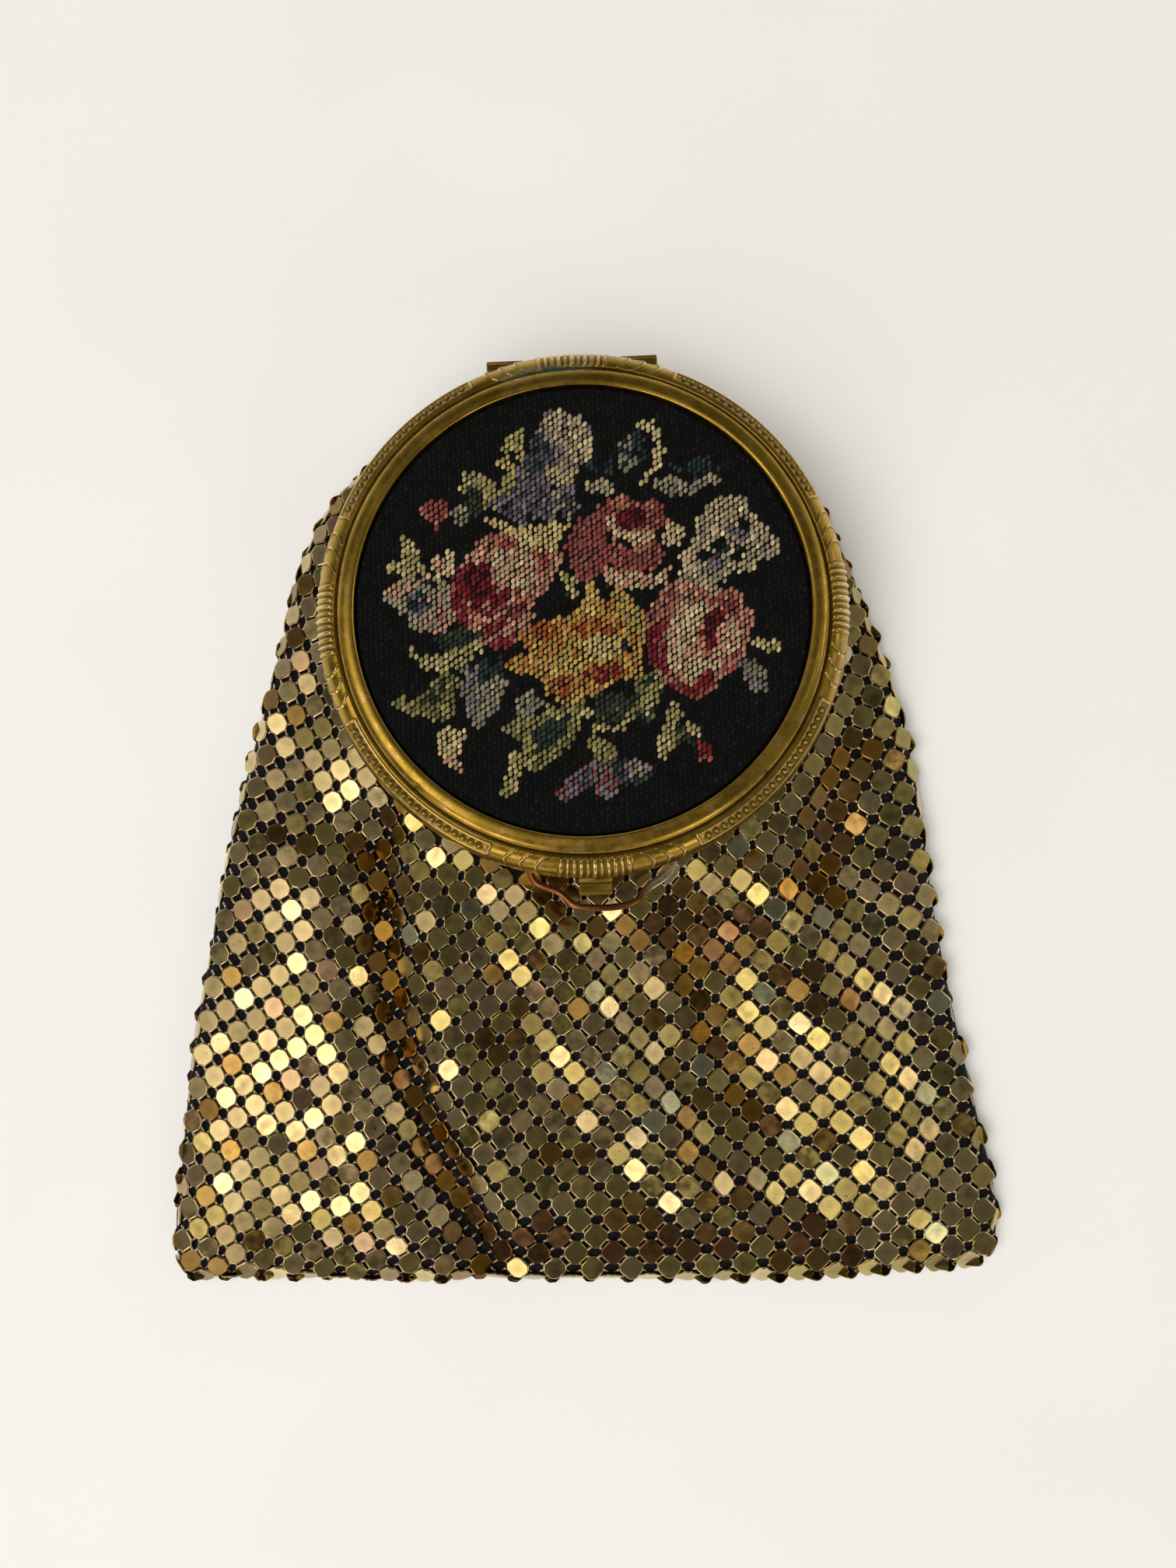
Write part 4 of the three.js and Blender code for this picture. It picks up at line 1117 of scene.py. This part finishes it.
folds = [
    (0.6, 1.5, [(-0.74, 0.36), (-0.62, 0.62), (-0.5, 0.9)]),
    (-0.75, 0.75, [(-0.53, 0.3), (-0.51, 0.56), (-0.42, 0.76), (-0.28, 0.93)]),
    (0.75, 0.9, [(-0.4, 0.42), (-0.36, 0.68), (-0.2, 0.9)]),
    (1, 0.9, [(-0.16, 0.4), (0, 0.62), (0.2, 0.84)]),
    (-0.5, 0.7, [(0.02, 0.45), (0.14, 0.64), (0.3, 0.82)]),
    (-0.6, 0.9, [(0.22, 0.42), (0.32, 0.64), (0.44, 0.88)]),
    (0.9, 1.1, [(0.4, 0.4), (0.56, 0.62), (0.7, 0.88)]),
    (-0.4, 0.9, [(0.62, 0.34), (0.72, 0.56), (0.8, 0.76)]),
    (0.5, 0.9, [(0.28, 0.86), (0.5, 0.97)]),
]

# Sharp creases between the three panels of the mesh, in millimetres: depth, half width, route
left_crease = [
    (-27, -18), (-32.4, -33), (-32.2, -50.7), (-30.4, -62.3), (-25.9, -76.4), (-18.2, -92.9), (-17, -97)
]
right_crease = [(7, -33), (12, -47.7), (17.1, -63.6), (23.9, -77.1), (24.9, -87.8), (26, -97)]
side_crease = [(40, -20), (36.5, -30), (32, -41)]
creases = [
    (1.3, 1.9, left_crease),
    (0.9, 1.8, right_crease),
    (1.2, 2.6, side_crease),
]


def outline_points():
    spread = pouch_half_width - mouth_radius
    back = [
        (reach * mouth_radius * math.cos(math.radians(a)), reach * mouth_radius * math.sin(math.radians(a)))
        for a, reach in back_outline
    ]
    left = [
        (-(mouth_radius + spread * left) + pouch_lean * along, -pouch_length * along)
        for along, left, _ in side_outline
    ]
    bottom = [
        (pouch_half_width * across + pouch_lean * along, -pouch_length * along)
        for across, along in bottom_outline
    ]
    right = [
        (mouth_radius + spread * right + pouch_lean * along, -pouch_length * along)
        for along, _, right in reversed(side_outline)
    ]
    return back + left + bottom + right


outline_curve = spline(outline_points(), closed=True, steps=60)
outline_angles = np.arctan2(outline_curve[:, 1], outline_curve[:, 0])
outline_order = np.argsort(outline_angles)
outline_angles = outline_angles[outline_order]
outline_radii = np.hypot(outline_curve[:, 0], outline_curve[:, 1])[outline_order]

way_steps = np.linspace(0, 1, 401)
level_steps = np.interp(way_steps, *zip(*sheet_profile))
padded_levels = np.pad(level_steps, 12, mode="reflect", reflect_type="odd")
level_steps = np.convolve(padded_levels, np.hanning(27)[1:-1] / np.hanning(27).sum(), mode="valid")


def outline_at(angle):
    return np.interp(angle, outline_angles, outline_radii, period=2 * math.pi)


def distance_from(route, x, y):
    found = np.full(np.shape(x), 1e9)
    for (ax, ay), (bx, by) in zip(route, route[1:]):
        run_x, run_y = bx - ax, by - ay
        share = np.clip(((x - ax) * run_x + (y - ay) * run_y) / (run_x ** 2 + run_y ** 2), 0, 1)
        found = np.minimum(found, np.hypot(x - ax - run_x * share, y - ay - run_y * share))
    return found


def sheet_height(x, y, way):
    level = np.interp(way, way_steps, level_steps)
    base = pouch_edge_height + (pouch_mouth_height - pouch_edge_height) * level
    total = np.zeros(np.shape(x))
    for rise, width, route in folds:
        placed = [(a * pouch_half_width, -b * pouch_length) for a, b in route]
        total += rise * fold_height * np.exp(-(distance_from(placed, x, y) / (width * fold_width)) ** 2)
    for depth, width, route in creases:
        total -= depth * np.exp(-(distance_from(route, x, y) / width) ** 2)
    return base + total * np.clip(way / 0.15, 0, 1) * np.clip((1 - way) / 0.12, 0, 1)


edge_zone = 4.5  # width of the strip that rolls over, inside the outline
edge_inset = 0.4
under_level = 0.3  # middle of the plates that lie on the floor


def skin(x, y):
    """Points of the plates' middle skin for flat places. Past the outline it rolls under."""
    x = np.asarray(x, float)
    y = np.asarray(y, float)
    radius = np.hypot(x, y)
    angle = np.arctan2(y, x)
    reach = outline_at(angle) - edge_inset
    start = reach - edge_zone
    inner = np.minimum(radius, start)
    way = np.clip((inner - mouth_radius) / (reach - mouth_radius), 0, 1)
    level = sheet_height(inner * np.cos(angle), inner * np.sin(angle), way) - 0.1
    past = radius - start
    place = inner.copy()
    height = level.copy()
    over = past > 0
    drop = np.maximum(level[over] - pouch_edge_height, 0.4)
    turn = np.linspace(0, math.pi / 2, 16)
    arcs = []
    for tall in drop:
        out = edge_zone * np.sin(turn)
        down = tall * (1 - np.cos(turn))
        arcs.append(np.concatenate([[0], np.cumsum(np.hypot(np.diff(out), np.diff(down)))]))
    low_radius = pouch_edge_height - under_level
    quarter = low_radius * math.pi / 2
    new_place = []
    new_height = []
    for arc, tall, walked, begin in zip(arcs, drop, past[over], start[over]):
        if walked <= arc[-1]:
            bend = np.interp(walked, arc, turn)
            new_place.append(begin + edge_zone * math.sin(bend))
            new_height.append(pouch_edge_height + tall * math.cos(bend))
        elif walked <= arc[-1] + quarter:
            bend = (walked - arc[-1]) / low_radius
            new_place.append(begin + edge_zone - low_radius * (1 - math.cos(bend)))
            new_height.append(pouch_edge_height - low_radius * math.sin(bend))
        else:
            new_place.append(begin + edge_zone - low_radius - (walked - arc[-1] - quarter))
            new_height.append(under_level)
    place[over] = new_place
    height[over] = new_height
    return np.stack([place * np.cos(angle), place * np.sin(angle), height], axis=-1)


def wrap_length(x, y):
    """How far a flat place lies past the start of the rolled edge."""
    radius = np.hypot(x, y)
    return radius - (outline_at(np.arctan2(y, x)) - edge_inset - edge_zone)


# The mesh: plates in a lattice that is drawn out and turned from place to place

plate_half = 1.64
link_spread = 0.8  # from a join's middle to each of its two links

# Places in millimetres, each with the steps to the two next plates: length, direction in degrees.
# A script measured these steps in windows of the photograph. They were then rounded and smoothed.
stretches = [
    (-40, 25, 2.95, 4, 3.1, 76), (-44, 12, 2.95, 10, 3.1, 84), (-46, -18, 3.05, 24, 3.25, 104),
    (-51, -35, 3.2, 26, 3.3, 110), (-51, -60, 3.25, 27, 3.5, 114), (-52, -85, 3.4, 29, 3.2, 116),
    (-38, -35, 3.3, 34, 3.0, 115), (-38.5, -60, 3.45, 38, 3.0, 119), (-39, -85, 3.6, 36, 3.05, 120),
    (-26, -48, 3.3, 40, 3.0, 117), (-26, -85, 3.3, 38, 3.05, 122), (-13, -49, 3.15, 40, 3.0, 120),
    (-13.5, -86, 3.4, 36, 3.3, 129), (0, -50, 3.15, 47, 3.0, 125), (-1, -87, 3.6, 38, 3.35, 132),
    (13, -50, 3.2, 53, 3.0, 133), (11, -87, 3.65, 40, 3.45, 133), (25.5, -50, 3.2, 55, 3.15, 138),
    (23.5, -88, 3.65, 47, 3.2, 137), (40, -30, 3.3, 62, 3.6, 147), (38.5, -51, 3.6, 57, 3.5, 143),
    (36.5, -76, 3.5, 48, 3.6, 139), (48, -89, 3.4, 46, 3.6, 137), (42, -2, 2.95, 76, 3.5, 151),
    (46, -14, 2.95, 75, 3.5, 151), (42, 20, 2.95, 84, 3.4, 158), (0, 37, 3.1, 45, 3.2, 120),
]
powers = [(p, q) for p in range(5) for q in range(5 - p) if p + q]

metals = {
    "champagne": (0.68, 0.54, 0.29),
    "olive": (0.47, 0.38, 0.15),
    "brown": (0.30, 0.18, 0.055),
    "cream": (0.86, 0.69, 0.37),
    "peach": (0.70, 0.48, 0.28),
    "copper": (0.2, 0.1, 0.045),
    "mint": (0.55, 0.54, 0.34),
    "amber": (0.40, 0.20, 0.03),
    "grey": (0.40, 0.31, 0.17),
}
mixes = {
    # The panels' mixes are partly the metals' own variety and partly painted light and shade: the left panel
    # is mixed lighter and the middle one darker.
    "left": {"champagne": 0.42, "olive": 0.16, "cream": 0.1, "peach": 0.06, "grey": 0.14, "brown": 0.12},
    "centre": {"olive": 0.5, "champagne": 0.14, "brown": 0.14, "peach": 0.03, "grey": 0.15, "mint": 0.04},
    "right": {"olive": 0.58, "champagne": 0.26, "brown": 0.06, "peach": 0.02, "grey": 0.05, "mint": 0.03},
    "copper": {"copper": 0.7, "brown": 0.2, "olive": 0.1},
    # Painted shade: plates in the creases and the side valley get dark amber and brown tints.
    "crease": {"amber": 0.55, "copper": 0.2, "brown": 0.25},
    "valley": {"brown": 0.6, "amber": 0.25, "copper": 0.15},
}
copper_band = [(12, -43), (22, -48.5), (30, -53), (35, -58)]
copper_foot = [(-22, -90), (0, -91), (16, -92), (34, -92)]


def lattice_terms(x, y):
    """Terms of a fourth-degree surface over the pouch, with their slopes along x and y."""
    u, v = x / 50, (y + 45) / 50
    value = np.stack([u ** p * v ** q for p, q in powers], axis=-1)
    slope_x = np.stack([p * u ** max(p - 1, 0) * v ** q / 50 for p, q in powers], axis=-1)
    slope_y = np.stack([q * u ** p * v ** max(q - 1, 0) / 50 for p, q in powers], axis=-1)
    return value, slope_x, slope_y


def fitted_lattice():
    """Weights that turn the terms at a flat place into its row and column in the lattice."""
    table = np.array(stretches, float)
    _, slope_x, slope_y = lattice_terms(table[:, 0], table[:, 1])
    rows = []
    for length, direction in (table[:, 2:4].T, table[:, 4:6].T):
        turn = np.radians(direction)
        rows.append((length * np.cos(turn))[:, None] * slope_x + (length * np.sin(turn))[:, None] * slope_y)
    targets = np.kron(np.eye(2), np.ones((len(table), 1)))
    return np.linalg.lstsq(np.concatenate(rows), targets, rcond=None)[0]


lattice_weights = fitted_lattice()


def lattice_places(reach):
    """Index pairs, flat places and the two steps of the plates up to this far past the edge zone's start."""
    x, y = (grid.ravel() for grid in np.meshgrid(np.arange(-75, 75, 0.8), np.arange(-115, 60, 0.8)))
    near = wrap_length(x, y) < reach + 2
    x, y = x[near], y[near]
    index = lattice_terms(x, y)[0] @ lattice_weights
    pairs = np.round(index)
    order = np.argsort(np.hypot(*(index - pairs).T))
    _, first_found = np.unique(pairs[order], axis=0, return_index=True)
    chosen = order[first_found]
    pairs, x, y = pairs[chosen], x[chosen], y[chosen]
    for _ in range(5):
        value, slope_x, slope_y = lattice_terms(x, y)
        slopes = np.stack([slope_x @ lattice_weights, slope_y @ lattice_weights], axis=-1)
        gap = pairs - value @ lattice_weights
        move = np.linalg.solve(slopes, gap[:, :, None])[:, :, 0]
        move = np.clip(move, -1, 1)
        x, y = x + move[:, 0], y + move[:, 1]
    steps = np.linalg.inv(slopes)
    settled = (np.hypot(*gap.T) < 0.01) & (wrap_length(x, y) < reach)
    places = np.stack([x, y], axis=1)
    return pairs[settled].astype(int), places[settled], steps[settled, :, 0], steps[settled, :, 1]


def unit(vectors):
    return vectors / np.linalg.norm(vectors, axis=-1, keepdims=True)


def plate_directions(first, second):
    """The direction midway between the first step and the second one turned back by a right angle."""
    second = unit(second)
    return unit(unit(first) + np.stack([second[:, 1], -second[:, 0]], axis=1))


def plate_sizes(first, second):
    """Shares of the full plate along both steps, smaller where the mesh is pushed together."""
    steps = np.stack([np.linalg.norm(first, axis=1), np.linalg.norm(second, axis=1)], axis=1)
    return np.clip((steps - 0.1) / (2 * plate_half), 0.82, 1)


def joins(pairs, places, keep):
    """Middles and directions of the links, two for each pair of neighbouring plates."""
    spots = []
    directions = []
    kept = {tuple(pair): place for pair, place, k in zip(pairs.tolist(), places, keep) if k}
    for down, across in ((1, 0), (0, 1)):
        ends = [
            (place, kept[(i + down, j + across)])
            for (i, j), place in kept.items()
            if (i + down, j + across) in kept
        ]
        start, end = (np.array(column) for column in zip(*ends))
        direction = unit(end - start)
        aside = np.stack([-direction[:, 1], direction[:, 0]], axis=1) * link_spread
        for side in (-1, 1):
            spots.append((start + end) / 2 + aside * side)
            directions.append(direction)
    return np.concatenate(spots), np.concatenate(directions)


def tangent_frames(places, direction):
    """Centres, and axes along the direction, across it and out of the skin."""
    ahead = direction * plate_half
    aside = np.stack([-ahead[:, 1], ahead[:, 0]], axis=1)
    corners = [skin(*(places + offset).T) for offset in (ahead, -ahead, aside, -aside)]
    centre = sum(corners) / 4
    along = unit(corners[0] - corners[1])
    normal = unit(np.cross(along, corners[2] - corners[3]))
    return centre, along, np.cross(normal, along), normal


def turned_by(axis, vectors, angles):
    """Each vector turned about its axis."""
    cosine = np.cos(angles)[:, None]
    sine = np.sin(angles)[:, None]
    dot = (axis * vectors).sum(axis=1)[:, None]
    return vectors * cosine + np.cross(axis, vectors) * sine + axis * dot * (1 - cosine)


def plate_section(corner, ease):
    """The plate's outline: an octagon whose corners are each eased by two points."""
    h = plate_half
    corners = [(h, h - corner), (h - corner, h), (corner - h, h), (-h, h - corner),
               (-h, corner - h), (corner - h, -h), (h - corner, -h), (h, corner - h)]
    points = []
    for k, corner_point in enumerate(corners):
        here = np.array(corner_point)
        for other in (corners[k - 1], corners[(k + 1) % 8]):
            away = np.array(other) - here
            points.append(here + away / np.linalg.norm(away) * ease)
    return np.array(points)


def plate_mesh(name, frames, tints, sizes, squareness, rows):
    """Many plates as one mesh: section rows at several insets and heights, with painted shade darkening each
    flat face towards its middle.
    """
    centres, along, across, normal = frames
    octagon = plate_section(0.84, 0.12)
    square = plate_section(0.56, 0.22)
    sections = octagon + (square - octagon) * squareness[:, None, None]
    around = len(octagon)
    rings = []
    for inset, level in rows:
        ring = sections * (1 - inset / plate_half) * sizes[:, None, :]
        rings.append(
            centres[:, None, :]
            + along[:, None, :] * ring[:, :, :1]
            + across[:, None, :] * ring[:, :, 1:]
            + normal[:, None, :] * level
        )
    rings.append((centres + normal * rows[-1][1])[:, None, :])
    points = np.concatenate(rings, axis=1).reshape(-1, 3)
    each = around * len(rows) + 1
    middle = each - 1
    pattern = grid_faces(len(rows), around)
    pattern.append(tuple(reversed(range(around))))
    flat_from = len(pattern) - 1
    for i in range(around):
        pattern.append((middle - around + i, middle - around + (i + 1) % around, middle))
    faces = [
        tuple(first + k for k in face)
        for first in range(0, len(centres) * each, each)
        for face in pattern
    ]
    flat = np.arange(len(faces)).reshape(-1, len(pattern))[:, flat_from:].ravel()
    # Painted shade: the middle point of each face is tinted darker, in place of the reflection gradient of a
    # dished face.
    painted_centre_shade = np.ones(each)
    painted_centre_shade[-1] = 0.78
    tints = (tints[:, None, :] * painted_centre_shade[None, :, None]).reshape(-1, 3)
    return mesh_piece(name, points, faces, plate_metal, "pouch", ["mesh_pouch"],
                      tint=tints, flat_faces=flat)


def plate_tints(mix_names, rng):
    tints = []
    for mix_name in mix_names:
        weights = mixes[mix_name]
        pick = rng.random() * sum(weights.values())
        for metal, weight in weights.items():
            pick -= weight
            if pick <= 0:
                break
        tints.append(np.array(metals[metal]) * rng.lognormal(0, 0.11))
    return np.array(tints)


def link_mesh(name, centres, along, across, normal):
    """Short bars that join neighbouring plates, as one mesh."""
    rings = []
    for reach, grow in ((-0.5, 0.6), (-0.4, 1.0), (0.4, 1.0), (0.5, 0.6)):
        for a, b in ((-1, -1), (1, -1), (1, 1), (-1, 1)):
            rings.append(centres + along * reach + across * (0.17 * grow * a) + normal * (0.13 * grow * b))
    points = np.stack(rings, axis=1).reshape(-1, 3)
    pattern = capped_rows(4, 4)
    faces = [tuple(first + k for k in face) for first in range(0, len(centres) * 16, 16) for face in pattern]
    return mesh_piece(name, points, faces, link_metal, "pouch", ["mesh_pouch"])


def mix_at(x, y):
    """The mix of plate tints at each flat place, with painted light and shade: a lighter left panel, a darker
    middle one, and dark creases and valley.
    """
    left = np.interp(-y, [-b for _, b in left_crease], [a for a, _ in left_crease])
    right = np.interp(-y, [-b for _, b in right_crease], [a for a, _ in right_crease])
    names = np.where(x < left, "left", np.where(x > right, "right", "centre"))
    names[(distance_from(copper_band, x, y) < 4) | (distance_from(copper_foot, x, y) < 3.2)] = "copper"
    # Painted shade: the plates along the creases and in the side valley take the dark mixes.
    names[distance_from(left_crease, x, y) < 2.0] = "crease"
    names[distance_from(right_crease[1:-2], x, y) < 1.6] = "crease"
    names[distance_from(side_crease, x, y) < 4.2] = "valley"
    return names


def mesh_front():
    rng = np.random.default_rng(5)
    pairs, places, first, second = lattice_places(edge_zone + 9.5)
    x, y = places.T
    keep = np.hypot(x, y) > 37
    spots, directions = joins(pairs, places, keep)
    link_frames = tangent_frames(spots, directions)
    places, first, second = places[keep], first[keep], second[keep]
    x, y = places.T
    count = len(x)
    centre, along, across, normal = tangent_frames(places, plate_directions(first, second))
    spread = np.where(rng.random(count) < 0.14, 6.0, 2.6)
    spread[wrap_length(x, y) > edge_zone] = 0.8
    for axis in (along.copy(), across.copy()):
        angle = np.radians(rng.normal(0, 1, count) * spread)
        normal, along, across = (turned_by(axis, vectors, angle) for vectors in (normal, along, across))
    spin = np.radians(rng.normal(0, 3.0, count))
    along, across = turned_by(normal, along, spin), turned_by(normal, across, spin)
    tints = plate_tints(mix_at(x, y), rng)
    reach = np.abs(along[:, 2]) + np.abs(across[:, 2])
    centre[:, 2] += np.maximum(0, 0.2 + reach * plate_half - centre[:, 2])
    squareness = np.clip((x + 0.3 * y + 50) / 40, 0, 1)
    rows = [(0.0, -0.16), (0.0, 0.02), (0.07, 0.1), (0.22, 0.14)]
    frames = (centre, along, across, normal)
    plates = plate_mesh("plates_front", frames, tints, plate_sizes(first, second), squareness, rows)
    centre, along, across, normal = link_frames
    bars = link_mesh("links_front", centre - normal * 0.14, along, across, normal)
    return plates, bars


def mesh_back():
    """The plates and links that the purse lies on."""
    rng = np.random.default_rng(9)
    pairs, places, first, second = lattice_places(edge_zone)
    x, y = places.T
    keep = np.hypot(x, y) < outline_at(np.arctan2(y, x)) - 6.2

    def frames(spots, direction):
        count = len(spots)
        centre = np.column_stack([spots, np.full(count, under_level)])
        along = np.column_stack([direction, np.zeros(count)])
        normal = np.tile([0.0, 0.0, -1.0], (count, 1))
        return centre, along, np.cross(normal, along), normal

    count = int(keep.sum())
    tints = plate_tints(["centre"] * count, rng)
    plate_frames = frames(places[keep], plate_directions(first, second)[keep])
    rows = [(0.0, -0.14), (0.0, 0.06), (0.17, 0.14)]
    plates = plate_mesh(
        "plates_back", plate_frames, tints, plate_sizes(first, second)[keep], np.full(count, 0.5), rows
    )
    centre, along, across, normal = frames(*joins(pairs, places, keep))
    bars = link_mesh("links_back", centre - normal * 0.1, along, across, normal)
    return plates, bars


def lining_and_shade_shell():
    """The dark cloth bag just inside the plates, as one thin closed shell; its near-black colour is partly
    painted shade in the gaps between the plates.
    """
    columns = 240
    angles = np.linspace(-math.pi, math.pi, columns, endpoint=False)
    reach = outline_at(angles)
    start = reach - edge_inset - edge_zone
    rows = []
    for share in np.linspace(0, 1, 40):
        rows.append(mouth_radius - 0.2 + (start - mouth_radius + 0.2) * share)
    for walked in np.linspace(0.6, 14, 22):
        rows.append(start + walked)
    flat = np.array(rows)
    x = (flat * np.cos(angles)).ravel()
    y = (flat * np.sin(angles)).ravel()
    points = skin(x, y).reshape(len(rows), columns, 3)
    last = points[-1]
    under = [last * [share, share, 1] for share in (0.8, 0.6, 0.4, 0.2, 0.002)]
    points = np.concatenate([points, np.array(under)])
    down = np.gradient(points, axis=0)
    round_it = np.roll(points, -1, axis=1) - np.roll(points, 1, axis=1)
    normal = np.cross(down, round_it)
    normal /= np.maximum(np.linalg.norm(normal, axis=2), 1e-9)[..., None]
    normal[-3:] = [0, 0, -1]
    if normal[10, :, 2].mean() < 0:
        normal = -normal
        normal[-3:] = [0, 0, -1]
    outer = points - normal * 0.42
    inner = points - normal * 0.85
    both = np.concatenate([outer, inner[::-1]])
    faces = grid_faces(len(both), columns, closed_rows=True)
    piece = mesh_piece(
        "pouch_lining_and_shade", both.reshape(-1, 3), faces, lining_and_shade_cloth, "pouch", ["mesh_pouch"]
    )
    return piece


# Stage: floor, world, lights and camera

def floor():
    mesh = bpy.data.meshes.new("floor")
    size = 3.0
    mesh.from_pydata(
        [(-size, -size, 0), (size, -size, 0), (size, size, 0), (-size, size, 0)], [], [(0, 1, 2, 3)]
    )
    mesh.materials.append(floor_material())
    piece = bpy.data.objects.new("floor", mesh)
    bpy.context.scene.collection.objects.link(piece)


# Bright patches of the room that the metal reflects: degrees round from +X and off the vertical,
# the radius and softness of the patch in degrees, and its strength
room_patches = [
    (190, 26, 13, 7, 1.2, (1.0, 0.91, 0.74)),
    (184, 20, 6, 2, 1.9, (1.0, 0.92, 0.74)),
    (207, 31, 6.5, 2, 2.2, (1.0, 0.9, 0.68)),
    (229, 33, 4, 1.5, 1.7, (1.0, 0.88, 0.6)),
    (150, 12, 10, 7, 0.15, (1.0, 0.94, 0.85)),
    (5, 58, 22, 9, 0.1, (1.0, 0.97, 0.88)),
    (8, 56, 5.5, 2, 1.9, (1.0, 0.88, 0.6)),
    (16, 66, 5, 2, 1.6, (1.0, 0.94, 0.8)),
    (4, 33, 3.5, 1.5, 1.5, (1.0, 0.95, 0.8)),
    (0, 18, 2.2, 1, 1.0, (0.97, 1.0, 0.88)),
    (242, 17, 2.5, 1.5, 1.2, (1.0, 0.93, 0.75)),
    (238, 60, 12, 4, 2.8, (1.0, 0.9, 0.8)),
    (300, 62, 9, 4, 2.6, (1.0, 0.92, 0.68)),
    (30, 80, 20, 6, 0.22, (1.0, 0.98, 0.97)),
    (95, 80, 20, 6, 0.22, (0.97, 0.98, 1.0)),
    (150, 78, 20, 6, 0.32, (1.0, 0.98, 0.96)),
]


def room():
    world = bpy.data.worlds.new("room")
    bpy.context.scene.world = world
    world.use_nodes = True
    tree = world.node_tree
    background = tree.nodes["Background"]
    place = tree.nodes.new("ShaderNodeTexCoord")
    direction = place.outputs["Generated"]

    def node(kind, operation=None):
        made = tree.nodes.new(kind)
        if operation:
            made.operation = operation
        return made

    def ramp(value, low, high, to_low, to_high):
        made = node("ShaderNodeMapRange")
        made.interpolation_type = "SMOOTHSTEP"
        for key, number in zip(("From Min", "From Max", "To Min", "To Max"), (low, high, to_low, to_high)):
            made.inputs[key].default_value = number
        tree.links.new(value, made.inputs["Value"])
        return made.outputs["Result"]

    def scaled(value, colour):
        made = node("ShaderNodeVectorMath", "SCALE")
        made.inputs[0].default_value = colour
        tree.links.new(value, made.inputs["Scale"])
        return made.outputs[0]

    def added(a, b):
        made = node("ShaderNodeVectorMath", "ADD")
        tree.links.new(a, made.inputs[0])
        tree.links.new(b, made.inputs[1])
        return made.outputs[0]

    split = node("ShaderNodeSeparateXYZ")
    tree.links.new(direction, split.inputs[0])
    plain = ramp(split.outputs["Z"], 0.9, 0.5, 0.115, 0.15)
    walls = ramp(split.outputs["Z"], 0.3, 0.1, 0.0, 0.3)
    overhead = ramp(split.outputs["Z"], 0.2, 0.45, 0.0, 1.0)
    clouds = node("ShaderNodeTexNoise")
    clouds.inputs["Scale"].default_value = 5.0
    clouds.inputs["Detail"].default_value = 3
    tree.links.new(direction, clouds.inputs["Vector"])
    uneven = node("ShaderNodeMath", "MULTIPLY_ADD")
    tree.links.new(ramp(clouds.outputs["Fac"], 0.35, 0.65, -0.6, 0.5), uneven.inputs[0])
    tree.links.new(overhead, uneven.inputs[1])
    uneven.inputs[2].default_value = 1.0
    varied = node("ShaderNodeMath", "MULTIPLY")
    tree.links.new(plain, varied.inputs[0])
    tree.links.new(uneven.outputs[0], varied.inputs[1])
    total = added(scaled(varied.outputs[0], (1.0, 0.94, 0.83)), scaled(walls, (1.0, 0.97, 0.93)))
    for round_it, off, radius, soft, strength, colour in room_patches:
        aim = node("ShaderNodeVectorMath", "DOT_PRODUCT")
        tree.links.new(direction, aim.inputs[0])
        aim.inputs[1].default_value = (
            math.sin(math.radians(off)) * math.cos(math.radians(round_it)),
            math.sin(math.radians(off)) * math.sin(math.radians(round_it)),
            math.cos(math.radians(off)),
        )
        low = math.cos(math.radians(radius + soft))
        high = math.cos(math.radians(max(radius - soft, 0)))
        total = added(total, scaled(ramp(aim.outputs["Value"], low, high, 0.0, strength), colour))
    tree.links.new(total, background.inputs["Color"])


def area_light(name, place, size, power, colour):
    """A soft lamp that lights the cloth and the floor and isn't seen in the metal."""
    data = bpy.data.lights.new(name, "AREA")
    data.shape = "DISK"
    data.size = size
    data.energy = power
    data.color = colour
    light = bpy.data.objects.new(name, data)
    bpy.context.scene.collection.objects.link(light)
    light.location = place
    light.rotation_euler = (-Vector(place)).to_track_quat("-Z", "Y").to_euler()
    light.visible_glossy = False


def camera():
    """The photograph's view: 84.4 degrees above the floor, turned a little to the purse."""
    data = bpy.data.cameras.new("camera")
    data.sensor_width = 36
    data.sensor_fit = "AUTO"
    data.lens = 33.23
    data.clip_start = 0.01
    eye = bpy.data.objects.new("camera", data)
    bpy.context.scene.collection.objects.link(eye)
    spot = np.array([-1.35, -44.71, 222.66]) + centre_mm
    eye.location = (spot / 1000).tolist()
    eye.rotation_euler = (math.radians(90 - 84.43), 0, math.radians(-2.6))
    bpy.context.scene.camera = eye


camera()
floor()
room()
area_light("softbox", (-0.35, -0.25, 1.1), 1.2, 11.2, (0.97, 0.995, 1.03))
bpy.context.scene.view_settings.view_transform = "Standard"

lid_band()
lid_bezel()
lid_plate()
lid_fittings()
mirror()
case_tray()
mouth_ring()
pin("lid_pin", lid_hinge_level, "case", "lid_hinge_pin")
pin("case_pin", case_hinge_level, "pouch", "case_hinge_pin")
wire_loop()
needlework()
mesh_front()
mesh_back()
lining_and_shade_shell()
